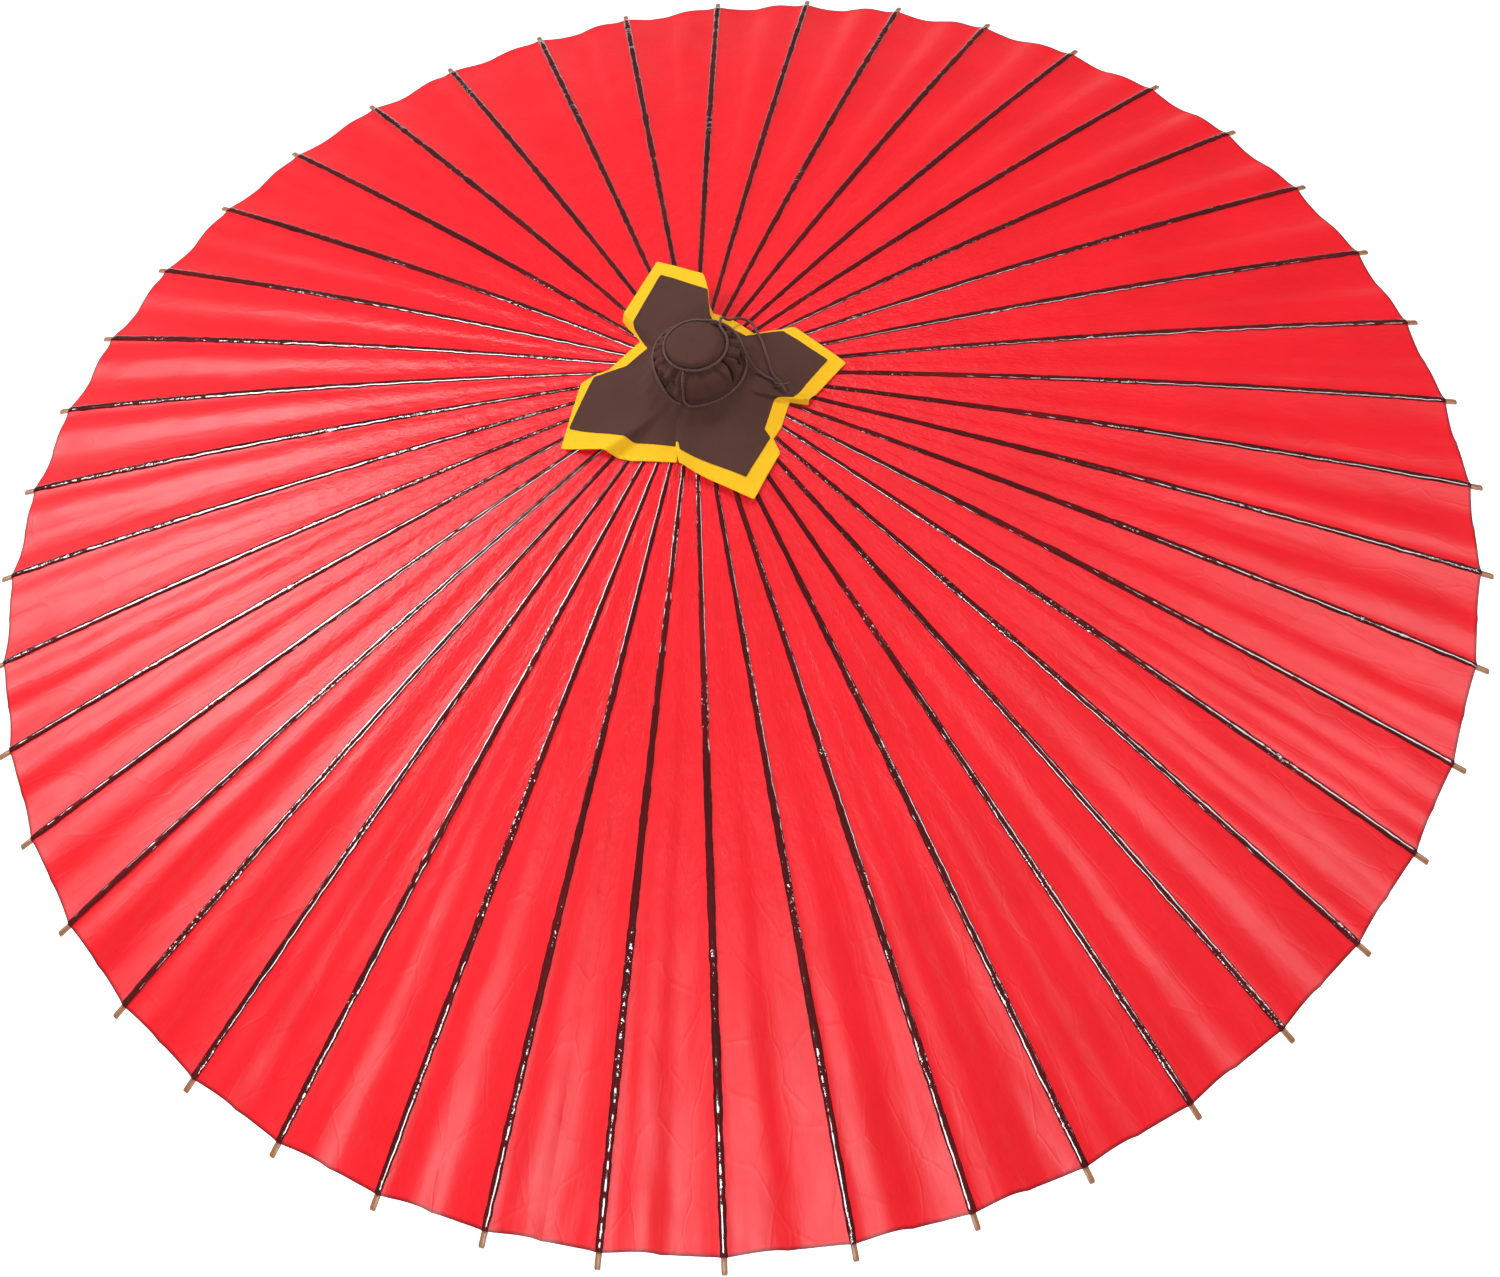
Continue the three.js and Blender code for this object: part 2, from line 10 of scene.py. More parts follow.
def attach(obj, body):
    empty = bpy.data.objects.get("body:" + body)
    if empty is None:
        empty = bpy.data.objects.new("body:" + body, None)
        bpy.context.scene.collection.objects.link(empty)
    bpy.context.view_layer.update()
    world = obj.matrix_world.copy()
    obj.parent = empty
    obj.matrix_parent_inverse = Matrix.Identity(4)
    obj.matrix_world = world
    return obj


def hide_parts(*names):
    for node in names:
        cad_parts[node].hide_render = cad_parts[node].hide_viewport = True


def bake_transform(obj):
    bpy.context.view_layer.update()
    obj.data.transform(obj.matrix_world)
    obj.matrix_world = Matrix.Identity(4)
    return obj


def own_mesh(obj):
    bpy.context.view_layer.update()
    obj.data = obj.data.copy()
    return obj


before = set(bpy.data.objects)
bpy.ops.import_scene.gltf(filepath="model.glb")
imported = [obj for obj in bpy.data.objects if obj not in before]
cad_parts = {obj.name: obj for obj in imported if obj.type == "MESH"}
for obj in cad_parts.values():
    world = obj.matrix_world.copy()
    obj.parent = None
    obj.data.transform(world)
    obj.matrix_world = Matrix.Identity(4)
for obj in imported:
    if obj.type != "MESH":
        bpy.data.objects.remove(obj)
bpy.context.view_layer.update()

# ------------------------------------------------------------------ dimensions
MM = 0.001
TIP_R = 889.3
RIM_Z = 1834.0
RISE, BOW = 0.36, 0.06
RIBS = 44
FIRST = -24.53
STEP = 360 / RIBS
OFF = [
    0.17, -0.12, 0.28, 0.23, 0.07, -0.11, -0.27, -0.15, -0.06, -0.42, -0.57,
    -0.29, -0.08, -0.1, -0.07, 0.01, -0.01, 0.02, 0.0, 0.1, 0.06, -0.11, -0.13,
    0.21, 0.28, 0.34, 0.38, 0.33, 0.65, 0.28, 0.42, 0.2, 0.29, 0.17, 0.14,
    -0.05, 0.0, -0.05, -0.13, -0.33, -0.13, -0.1, -0.08, 0.18,
]
RIB_A = [math.radians(FIRST - i * STEP + OFF[i]) for i in range(RIBS)]
PAPER_IN, PAPER_OUT = 46.0, 875.4
PIVOT_R, PIVOT_Z = 34.0, 2138.0
RUN_PIVOT_R, RUN_PIVOT_Z = 30.0, 1824.0
STRUT_END = (409.0, 176.0)


def paper_z(r):
    q = r / TIP_R
    return RIM_Z + TIP_R * (RISE * (1 - q) + BOW * q * (1 - q))


# ------------------------------------------------------- smooth repeatable noise
def _hash(i, j, seed):
    h = (i * 374761393 + j * 668265263 + seed * 974634777) & 0xFFFFFFFF
    h = ((h ^ (h >> 13)) * 1274126177) & 0xFFFFFFFF
    return ((h ^ (h >> 16)) & 0xFFFF) / 65535.0 * 2 - 1


def _table(seed, n=64):
    return np.array([[_hash(i, j, seed) for j in range(n)] for i in range(n)])


_tables = {}


def noise2(x, y, seed=0):
    """Smooth noise in -1..1 over numpy arrays, one unit per cell."""
    if seed not in _tables:
        _tables[seed] = _table(seed)
    t = _tables[seed]
    x, y = np.asarray(x, float), np.asarray(y, float)
    i, j = np.floor(x).astype(int), np.floor(y).astype(int)
    u, v = x - i, y - j
    u, v = u * u * (3 - 2 * u), v * v * (3 - 2 * v)
    i0, i1, j0, j1 = i % 64, (i + 1) % 64, j % 64, (j + 1) % 64
    return (
        t[i0, j0] * (1 - u) * (1 - v)
        + t[i1, j0] * u * (1 - v)
        + t[i0, j1] * (1 - u) * v
        + t[i1, j1] * u * v
    )


def smooth(x, a, b):
    t = np.clip((np.asarray(x, float) - a) / (b - a), 0, 1)
    return t * t * (3 - 2 * t)


# ----------------------------------------------------------------- mesh helpers
def make(name, verts, faces, mats, face_mats=None, uvs=None, flat=False):
    """An object from millimetre points in the row's frame. uvs is one (u, v) per vertex, in metres."""
    me = bpy.data.meshes.new(name)
    me.from_pydata((np.asarray(verts, float) * MM).tolist(), [], [list(map(int, f)) for f in faces])
    for m in mats:
        me.materials.append(m)
    if face_mats is not None:
        me.polygons.foreach_set("material_index", np.asarray(face_mats, np.int32))
    if uvs is not None:
        layer = me.uv_layers.new(name="uv")
        loops = np.empty(len(me.loops), np.int32)
        me.loops.foreach_get("vertex_index", loops)
        layer.data.foreach_set("uv", np.asarray(uvs, np.float32)[loops].ravel())
    me.polygons.foreach_set("use_smooth", np.full(len(me.polygons), not flat))
    me.validate()
    me.update()
    o = bpy.data.objects.new(name, me)
    bpy.context.scene.collection.objects.link(o)
    return o


def grid_faces(rows, cols, start=0, wrap=False, flip=False):
    out = []
    last = cols if wrap else cols - 1
    for i in range(rows - 1):
        for j in range(last):
            k = (j + 1) % cols
            q = (
                start + i * cols + j,
                start + (i + 1) * cols + j,
                start + (i + 1) * cols + k,
                start + i * cols + k,
            )
            out.append(q[::-1] if flip else q)
    return out


def shell(top, bottom):
    """A closed skin of two equal grids, top[rows][cols] and bottom, with walls all round. Returns verts, faces, and how many faces are walls (at the end)."""
    rows, cols = top.shape[:2]
    n = rows * cols
    verts = np.vstack([top.reshape(-1, 3), bottom.reshape(-1, 3)])
    faces = grid_faces(rows, cols) + grid_faces(rows, cols, n, flip=True)
    rim = (
        [j for j in range(cols)]
        + [i * cols + cols - 1 for i in range(1, rows)]
        + [(rows - 1) * cols + j for j in range(cols - 2, -1, -1)]
        + [i * cols for i in range(rows - 2, 0, -1)]
    )
    walls = []
    for k, a in enumerate(rim):
        b = rim[(k + 1) % len(rim)]
        walls.append((a, b, b + n, a + n))
    return verts, faces + walls, len(walls)


def lathe(name, profile, mat, sides=64, uv=True):
    """A turned solid from [radius, height] in mm. A profile that starts and ends on the axis is closed there; else it closes on itself."""
    prof = [p for p in profile]
    verts, faces, uvs = [], [], []
    rings = []
    run = 0.0
    prev = None
    for r, z in prof:
        if prev is not None:
            run += math.hypot(r - prev[0], z - prev[1])
        prev = (r, z)
        if r < 1e-6:
            rings.append([len(verts)])
            verts.append((0, 0, z))
            uvs.append((0, run * MM))
        else:
            ring = []
            for j in range(sides):
                a = 2 * math.pi * j / sides
                ring.append(len(verts))
                verts.append((r * math.cos(a), r * math.sin(a), z))
                uvs.append((a * r * MM, run * MM))
            rings.append(ring)
    pairs = list(zip(rings[:-1], rings[1:]))
    if len(rings[0]) > 1:
        pairs.append((rings[-1], rings[0]))
    for lo, hi in pairs:
        for j in range(sides):
            k = (j + 1) % sides
            if len(lo) == 1 and len(hi) == 1:
                continue
            if len(lo) == 1:
                faces.append((lo[0], hi[k], hi[j]))
            elif len(hi) == 1:
                faces.append((lo[j], lo[k], hi[0]))
            else:
                faces.append((lo[j], lo[k], hi[k], hi[j]))
    return make(name, verts, faces, [mat], uvs=uvs)


def sharpen(o, degrees=35):
    """Flat shading across edges sharper than this, smooth elsewhere."""
    me = o.data
    import bmesh

    bm = bmesh.new()
    bm.from_mesh(me)
    for e in bm.edges:
        if len(e.link_faces) == 2 and e.calc_face_angle(0) > math.radians(degrees):
            e.smooth = False
    bm.to_mesh(me)
    bm.free()


# -------------------------------------------------------------------- materials
def material(name):
    m = bpy.data.materials.new(name)
    m.use_nodes = True
    nt = m.node_tree
    bsdf = nt.nodes["Principled BSDF"]
    return m, nt, bsdf


def node(nt, kind, **inputs):
    n = nt.nodes.new(kind)
    for k, v in inputs.items():
        if k in n.inputs:
            n.inputs[k].default_value = v
        else:
            setattr(n, k, v)
    return n


def ramp(nt, fac, stops):
    n = nt.nodes.new("ShaderNodeValToRGB")
    e = n.color_ramp.elements
    while len(e) > len(stops):
        e.remove(e[-1])
    while len(e) < len(stops):
        e.new(0.5)
    for s, (p, c) in zip(e, stops):
        s.position = p
        s.color = (*c, 1) if len(c) == 3 else c
    nt.links.new(fac, n.inputs["Fac"])
    return n.outputs["Color"]


def mapping(nt, coord, scale=(1, 1, 1), rot=(0, 0, 0)):
    n = nt.nodes.new("ShaderNodeMapping")
    n.inputs["Scale"].default_value = scale
    n.inputs["Rotation"].default_value = rot
    nt.links.new(coord, n.inputs["Vector"])
    return n.outputs["Vector"]


def uv_coord(nt):
    n = nt.nodes.new("ShaderNodeUVMap")
    n.uv_map = "uv"
    return n.outputs["UV"]


def obj_coord(nt):
    return nt.nodes.new("ShaderNodeTexCoord").outputs["Object"]


def noise(nt, vec, scale, detail=4.0, rough=0.55):
    n = nt.nodes.new("ShaderNodeTexNoise")
    n.inputs["Scale"].default_value = scale
    n.inputs["Detail"].default_value = detail
    n.inputs["Roughness"].default_value = rough
    nt.links.new(vec, n.inputs["Vector"])
    return n.outputs["Fac"]


def noise_colour(nt, vec, scale):
    n = nt.nodes.new("ShaderNodeTexNoise")
    n.inputs["Scale"].default_value = scale
    nt.links.new(vec, n.inputs["Vector"])
    return n.outputs["Color"]


def mixed(nt, fac, a, b, mode="MIX"):
    n = nt.nodes.new("ShaderNodeMix")
    n.data_type = "RGBA"
    n.blend_type = mode
    for sock, v in ((n.inputs[0], fac), (n.inputs[6], a), (n.inputs[7], b)):
        if isinstance(v, (int, float)):
            sock.default_value = v
        elif isinstance(v, tuple):
            sock.default_value = (*v, 1) if len(v) == 3 else v
        else:
            nt.links.new(v, sock)
    return n.outputs[2]


def maths(nt, op, a, b=0.0, c=None):
    n = nt.nodes.new("ShaderNodeMath")
    n.operation = op
    for i, v in enumerate((a, b) if c is None else (a, b, c)):
        if isinstance(v, (int, float)):
            n.inputs[i].default_value = v
        else:
            nt.links.new(v, n.inputs[i])
    return n.outputs[0]


def bump(nt, height, distance, strength=1.0, under=None):
    n = nt.nodes.new("ShaderNodeBump")
    n.inputs["Distance"].default_value = distance
    n.inputs["Strength"].default_value = strength
    nt.links.new(height, n.inputs["Height"])
    if under is not None:
        nt.links.new(under, n.inputs["Normal"])
    return n.outputs["Normal"]


def range_of(nt, value, lo, hi):
    n = nt.nodes.new("ShaderNodeMapRange")
    n.inputs["To Min"].default_value = lo
    n.inputs["To Max"].default_value = hi
    nt.links.new(value, n.inputs["Value"])
    return n.outputs["Result"]


def paper_material(name="oiled_paper"):
    """Oiled red paper. Its uv is the radius in metres, and the distance across the panel with a step for each panel."""
    m, nt, b = material(name)
    uv = uv_coord(nt)
    fibres = noise(nt, mapping(nt, uv, (60, 420, 1)), 1.0, 5, 0.6)
    cloudy = noise(nt, uv, 7.0, 4, 0.55)
    blots = noise(nt, uv, 34.0, 3, 0.5)
    split = nt.nodes.new("ShaderNodeSeparateXYZ")
    nt.links.new(uv, split.inputs[0])
    radius = split.outputs[0]
    col = ramp(nt, cloudy, [(0.3, (0.80, 0.0042, 0.0125)), (0.55, (0.88, 0.0062, 0.0165)), (0.78, (0.94, 0.0085, 0.021))])
    col = mixed(nt, 0.20, col, ramp(nt, fibres, [(0.35, (0.70, 0.002, 0.008)), (0.7, (1.0, 0.016, 0.028))]))
    # the bound rim, dark with its thread and lacquer
    rim = ramp(nt, radius, [(0.8722, (0, 0, 0)), (0.8738, (1, 1, 1))])
    col = mixed(nt, rim, col, (0.22, 0.004, 0.008))
    nt.links.new(col, b.inputs["Base Color"])
    nt.links.new(range_of(nt, blots, 0.36, 0.46), b.inputs["Roughness"])
    b.inputs["Specular IOR Level"].default_value = 0.42
    # the creases a folded umbrella's paper keeps: fine wrinkles close to the head, long soft ones further out
    near = ramp(nt, radius, [(0.12, (1, 1, 1)), (0.40, (0.5, 0.5, 0.5)), (0.60, (0.10, 0.10, 0.10)), (0.9, (0.04, 0.04, 0.04))])
    crumple = noise(nt, mapping(nt, uv, (48, 95, 1)), 1.0, 4, 0.62)
    n1 = bump(nt, maths(nt, "MULTIPLY", crumple, near), 0.0052, 0.6)
    cockle = noise(nt, mapping(nt, uv, (7, 40, 1)), 1.0, 3, 0.5)
    n2 = bump(nt, cockle, 0.0011, 0.6, n1)
    crease = nt.nodes.new("ShaderNodeTexVoronoi")
    crease.feature = "DISTANCE_TO_EDGE"
    crease.inputs["Scale"].default_value = 1.0
    warp = mixed(nt, 0.02, uv, noise_colour(nt, uv, 11.0), "ADD")
    nt.links.new(mapping(nt, warp, (13, 27, 1)), crease.inputs["Vector"])
    sharp = ramp(nt, crease.outputs["Distance"], [(0.0, (0, 0, 0)), (0.045, (1, 1, 1))])
    n3 = bump(nt, sharp, 0.00018, 0.5, n2)
    nt.links.new(bump(nt, fibres, 0.00010, 0.5, n3), b.inputs["Normal"])
    return m


def lacquer_material():
    """Dark red lacquer brushed over each rib: glossy, in drips and dimples a few millimetres long."""
    m, nt, b = material("rib_lacquer")
    uv = uv_coord(nt)
    fine = noise(nt, mapping(nt, uv, (330, 420, 1)), 1.0, 3, 0.6)
    patches = noise(nt, mapping(nt, uv, (9, 30, 1)), 1.0, 3, 0.5)
    col = ramp(nt, patches, [(0.32, (0.050, 0.0002, 0.0008)), (0.58, (0.095, 0.0003, 0.0012)), (0.8, (0.17, 0.0006, 0.0022))])
    nt.links.new(col, b.inputs["Base Color"])
    nt.links.new(range_of(nt, patches, 0.16, 0.30), b.inputs["Roughness"])
    b.inputs["Coat Weight"].default_value = 1.0
    b.inputs["Coat Roughness"].default_value = 0.07
    b.inputs["Coat IOR"].default_value = 1.85
    b.inputs["Specular IOR Level"].default_value = 0.05
    dimple = noise(nt, mapping(nt, uv, (150, 230, 1)), 1.0, 2, 0.5)
    gate = ramp(nt, noise(nt, mapping(nt, uv, (7.5, 3, 1)), 1.0, 3, 0.6), [(0.50, (0.05, 0.05, 0.05)), (0.64, (1, 1, 1))])
    n1 = bump(nt, maths(nt, "MULTIPLY", dimple, gate), 0.0017, 0.9)
    n2 = bump(nt, fine, 0.00005, 0.5, n1)
    nt.links.new(n2, b.inputs["Normal"])
    nt.links.new(n2, b.inputs["Coat Normal"])
    return m


def bamboo_material(name, light, dark, rough=0.45, coat=0.25):
    m, nt, b = material(name)
    uv = uv_coord(nt)
    fib = noise(nt, mapping(nt, uv, (14, 2600, 1)), 1.0, 4, 0.6)
    broad = noise(nt, mapping(nt, uv, (5, 60, 1)), 1.0, 3, 0.5)
    col = mixed(nt, broad, light, tuple(x * 0.72 for x in light))
    col = mixed(nt, ramp(nt, fib, [(0.4, (0, 0, 0)), (0.68, (1, 1, 1))]), col, dark)
    nt.links.new(col, b.inputs["Base Color"])
    nt.links.new(range_of(nt, fib, rough - 0.1, rough + 0.15), b.inputs["Roughness"])
    b.inputs["Coat Weight"].default_value = coat
    b.inputs["Coat Roughness"].default_value = 0.25
    nt.links.new(bump(nt, fib, 0.00025, 0.7), b.inputs["Normal"])
    return m


def wood_material(name, light, dark, rough=0.4, coat=0.3, along=9.0, across=520.0):
    """Turned wood with its grain along Z, in the part's own coordinates."""
    m, nt, b = material(name)
    co = obj_coord(nt)
    grain = noise(nt, mapping(nt, co, (across, across, along)), 1.0, 4, 0.6)
    broad = noise(nt, mapping(nt, co, (40, 40, 3)), 1.0, 3, 0.5)
    col = mixed(nt, broad, light, tuple(x * 0.7 for x in light))
    col = mixed(nt, ramp(nt, grain, [(0.42, (0, 0, 0)), (0.66, (1, 1, 1))]), col, dark)
    nt.links.new(col, b.inputs["Base Color"])
    nt.links.new(range_of(nt, grain, rough - 0.08, rough + 0.12), b.inputs["Roughness"])
    b.inputs["Coat Weight"].default_value = coat
    b.inputs["Coat Roughness"].default_value = 0.2
    nt.links.new(bump(nt, grain, 0.0002, 0.6), b.inputs["Normal"])
    return m


def cloth_material(name, colour, dark, thread=0.00055):
    """Plain woven cotton: two sets of threads with painted shade in the gaps between them, uneven dye, a little fuzz.
    """
    m, nt, b = material(name)
    uv = uv_coord(nt)
    s = 1.0 / thread
    weave = []
    for turn in (0.0, math.pi / 2):
        w = nt.nodes.new("ShaderNodeTexWave")
        w.wave_type = "BANDS"
        w.bands_direction = "X"
        w.inputs["Scale"].default_value = s / 6.2832 / 1.0
        w.inputs["Distortion"].default_value = 0.7
        w.inputs["Detail"].default_value = 1.0
        w.inputs["Detail Scale"].default_value = 0.4
        nt.links.new(mapping(nt, uv, (1, 1, 1), (0, 0, turn + 0.12)), w.inputs["Vector"])
        weave.append(w.outputs["Fac"])
    both = maths(nt, "MULTIPLY", weave[0], weave[1])
    dye = noise(nt, uv, 22.0, 4, 0.6)
    slub = noise(nt, mapping(nt, uv, (900, 60, 1)), 1.0, 3, 0.6)
    col = mixed(nt, range_of(nt, dye, 0.0, 0.55), colour, dark)
    # painted shade: the cloth is made darker where the threads dip, in the gaps between them
    col = mixed(nt, range_of(nt, both, 0.0, 0.35), mixed(nt, 0.5, col, dark), col)
    col = mixed(nt, range_of(nt, slub, 0.0, 0.22), col, tuple(min(1, c * 1.35 + 0.01) for c in colour))
    nt.links.new(col, b.inputs["Base Color"])
    nt.links.new(range_of(nt, dye, 0.78, 0.95), b.inputs["Roughness"])
    b.inputs["Specular IOR Level"].default_value = 0.06
    b.inputs["Sheen Weight"].default_value = 0.03
    b.inputs["Sheen Roughness"].default_value = 0.5
    rumple = noise(nt, uv, 95.0, 3, 0.5)
    n1 = bump(nt, rumple, 0.0012, 0.5)
    nt.links.new(bump(nt, both, 0.00018, 0.8, n1), b.inputs["Normal"])
    return m


def cord_material():
    m, nt, b = material("cord_braid")
    uv = uv_coord(nt)
    ply = []
    for turn in (0.62, -0.62):
        w = nt.nodes.new("ShaderNodeTexWave")
        w.bands_direction = "X"
        w.inputs["Scale"].default_value = 95.0
        w.inputs["Distortion"].default_value = 0.3
        nt.links.new(mapping(nt, uv, (1, 1, 1), (0, 0, turn)), w.inputs["Vector"])
        ply.append(w.outputs["Fac"])
    braid = maths(nt, "MAXIMUM", ply[0], ply[1])
    n0 = noise(nt, uv, 60.0, 3)
    # painted shade: the cord's colour goes near black in the grooves between the plies and lighter on their crests,
    # following the braid's bump
    col = mixed(nt, range_of(nt, braid, 0.0, 1.0), (0.028, 0.010, 0.009), (0.105, 0.038, 0.034))
    col = mixed(nt, range_of(nt, n0, 0.0, 0.4), col, (0.13, 0.052, 0.046))
    nt.links.new(col, b.inputs["Base Color"])
    b.inputs["Roughness"].default_value = 0.62
    b.inputs["Sheen Weight"].default_value = 0.06
    nt.links.new(bump(nt, braid, 0.00035, 0.8), b.inputs["Normal"])
    return m


def thread_material():
    m, nt, b = material("waxed_thread")
    co = obj_coord(nt)
    n0 = noise(nt, co, 1500.0, 2)
    nt.links.new(ramp(nt, n0, [(0.35, (0.012, 0.006, 0.006)), (0.7, (0.05, 0.024, 0.022))]), b.inputs["Base Color"])
    nt.links.new(range_of(nt, n0, 0.45, 0.7), b.inputs["Roughness"])
    nt.links.new(bump(nt, n0, 0.0002, 0.8), b.inputs["Normal"])
    return m


def brass_material():
    m, nt, b = material("old_brass")
    co = obj_coord(nt)
    rub = noise(nt, mapping(nt, co, (30, 30, 900)), 1.0, 4)
    tarnish = noise(nt, co, 55.0, 5, 0.62)
    nt.links.new(ramp(nt, tarnish, [(0.35, (0.62, 0.42, 0.16)), (0.62, (0.48, 0.30, 0.11)), (0.8, (0.20, 0.115, 0.05))]), b.inputs["Base Color"])
    b.inputs["Metallic"].default_value = 1.0
    nt.links.new(range_of(nt, tarnish, 0.22, 0.5), b.inputs["Roughness"])
    nt.links.new(bump(nt, rub, 0.00008, 0.6), b.inputs["Normal"])
    return m


M_PAPER = paper_material()
M_LACQUER = lacquer_material()
M_RIB = bamboo_material("bamboo_rib", (0.46, 0.235, 0.085), (0.17, 0.075, 0.030))
M_TIP = bamboo_material("bamboo_tip", (0.50, 0.22, 0.09), (0.20, 0.07, 0.03), 0.4, 0.35)
M_STRUT = bamboo_material("bamboo_strut", (0.60, 0.36, 0.15), (0.28, 0.14, 0.055))
M_POLE = wood_material("lacquered_pole", (0.085, 0.018, 0.013), (0.030, 0.007, 0.006), 0.28, 0.8, 5, 300)
M_HUB = wood_material("turned_hub", (0.36, 0.20, 0.095), (0.17, 0.085, 0.035), 0.45, 0.25)
M_BROWN = cloth_material("brown_cotton", (0.100, 0.044, 0.034), (0.062, 0.027, 0.021))
M_YELLOW = cloth_material("yellow_cotton", (0.97, 0.55, 0.022), (0.84, 0.42, 0.014))
M_CORD = cord_material()
M_THREAD = thread_material()
M_BRASS = brass_material()

# ------------------------------------------------------------- camera and floor
EL, ROLL, DIST = math.radians(55.83), math.radians(-10.33), 3.357
e, c, s = EL, math.cos(ROLL), math.sin(ROLL)
right = Vector((1, 0, 0))
back = Vector((0, -math.cos(e), math.sin(e)))
up = Vector((0, math.sin(e), math.cos(e)))
r2 = c * right + s * up
u2 = -s * right + c * up
cam_data = bpy.data.cameras.new("camera")
cam = bpy.data.objects.new("camera", cam_data)
bpy.context.scene.collection.objects.link(cam)
cam.location = back * DIST * TIP_R * MM + Vector((0, 0, RIM_Z * MM))
rot = Matrix((r2, u2, back)).transposed()
cam.rotation_euler = rot.to_euler()
cam_data.sensor_width = 36
cam_data.sensor_fit = "HORIZONTAL"
cam_data.lens = 2497.1 / 1500 * 36
cam_data.shift_x = (750 - 724.6) / 1500
cam_data.shift_y = -(638.5 - 533.1) / 1500
cam_data.clip_end = 60
bpy.context.scene.camera = cam

floor_m, nt, b = material("floor")
b.inputs["Base Color"].default_value = (0.86, 0.86, 0.86, 1)
b.inputs["Roughness"].default_value = 0.9
b.inputs["Specular IOR Level"].default_value = 0.1
b.inputs["Emission Color"].default_value = (1, 1, 1, 1)
b.inputs["Emission Strength"].default_value = 0.85
floor = make("floor", [(-14000, -14000, 0), (14000, -14000, 0), (14000, 14000, 0), (-14000, 14000, 0)], [(0, 1, 2, 3)], [floor_m], flat=True)

# a dim room, lighter overhead than towards its walls
world = bpy.data.worlds.new("world")
bpy.context.scene.world = world
world.use_nodes = True
wt = world.node_tree
bg = wt.nodes["Background"]
way = wt.nodes.new("ShaderNodeTexCoord")
height = wt.nodes.new("ShaderNodeSeparateXYZ")
wt.links.new(way.outputs["Generated"], height.inputs[0])
sky = wt.nodes.new("ShaderNodeValToRGB")
sky.color_ramp.elements[0].position = 0.0
sky.color_ramp.elements[0].color = (0.07, 0.068, 0.07, 1)
sky.color_ramp.elements[1].position = 0.55
sky.color_ramp.elements[1].color = (0.13, 0.13, 0.13, 1)
wt.links.new(height.outputs[2], sky.inputs["Fac"])
wt.links.new(sky.outputs["Color"], bg.inputs["Color"])
bg.inputs["Strength"].default_value = 1.0


def area(name, place, aim, size, power, size_y=None):
    d = bpy.data.lights.new(name, "AREA")
    d.energy = power
    d.shape = "RECTANGLE"
    d.size = size
    d.size_y = size_y or size
    o = bpy.data.objects.new(name, d)
    bpy.context.scene.collection.objects.link(o)
    o.location = place
    o.rotation_euler = (Vector(aim) - Vector(place)).to_track_quat("-Z", "Y").to_euler()
    return o


area("key", (-2.9, 1.6, 3.9), (-0.3, 0, 1.95), 1.3, 90, 1.5)
area("front", (-0.9, -2.6, 4.7), (0, 0.1, 1.9), 1.3, 74)
area("high", (0.9, 2.2, 5.4), (0, 0, 1.9), 1.2, 82)
area("side", (3.0, -0.2, 3.9), (0.3, 0, 1.95), 0.9, 36, 1.6)
bpy.context.scene.view_settings.view_transform = "Standard"

# ------------------------------------------------------------------------- cords
CORD_R = 1.5


HEAD_SET = (5.5, 5.0)  # the tied head sits a little off the pole's line
HEAD = 1


def turns(a, b_, r, z, step=12):
    n = round(abs(b_ - a) / step)
    return [(a + (b_ - a) * k / n, r, z, HEAD) for k in range(n + 1)]


def polar(points):
    """Points given as degrees, radius and height over the rim plane, from the pole's line or from the tied head's middle."""
    out = []
    for d, r, z, *head in points:
        sx, sy = HEAD_SET if head else (0.0, 0.0)
        out.append(Vector((r * math.cos(math.radians(d)) + sx, r * math.sin(math.radians(d)) + sy, z + RIM_Z)))
    return out


def centripetal(points, per=8):
    """A smooth line through the points, as three.js draws its centripetal CatmullRomCurve3."""
    p = [points[0] * 2 - points[1]] + points + [points[-1] * 2 - points[-2]]
    out = []
    for i in range(1, len(p) - 2):
        p0, p1, p2, p3 = p[i - 1], p[i], p[i + 1], p[i + 2]
        t0 = 0.0
        t1 = t0 + max((p1 - p0).length, 1e-6) ** 0.5
        t2 = t1 + max((p2 - p1).length, 1e-6) ** 0.5
        t3 = t2 + max((p3 - p2).length, 1e-6) ** 0.5
        for k in range(per):
            t = t1 + (t2 - t1) * k / per
            a1 = p0 * ((t1 - t) / (t1 - t0)) + p1 * ((t - t0) / (t1 - t0))
            a2 = p1 * ((t2 - t) / (t2 - t1)) + p2 * ((t - t1) / (t2 - t1))
            a3 = p2 * ((t3 - t) / (t3 - t2)) + p3 * ((t - t2) / (t3 - t2))
            b1 = a1 * ((t2 - t) / (t2 - t0)) + a2 * ((t - t0) / (t2 - t0))
            b2 = a2 * ((t3 - t) / (t3 - t1)) + a3 * ((t - t1) / (t3 - t1))
            out.append(b1 * ((t2 - t) / (t2 - t1)) + b2 * ((t - t1) / (t2 - t1)))
    out.append(p[-2])
    return out


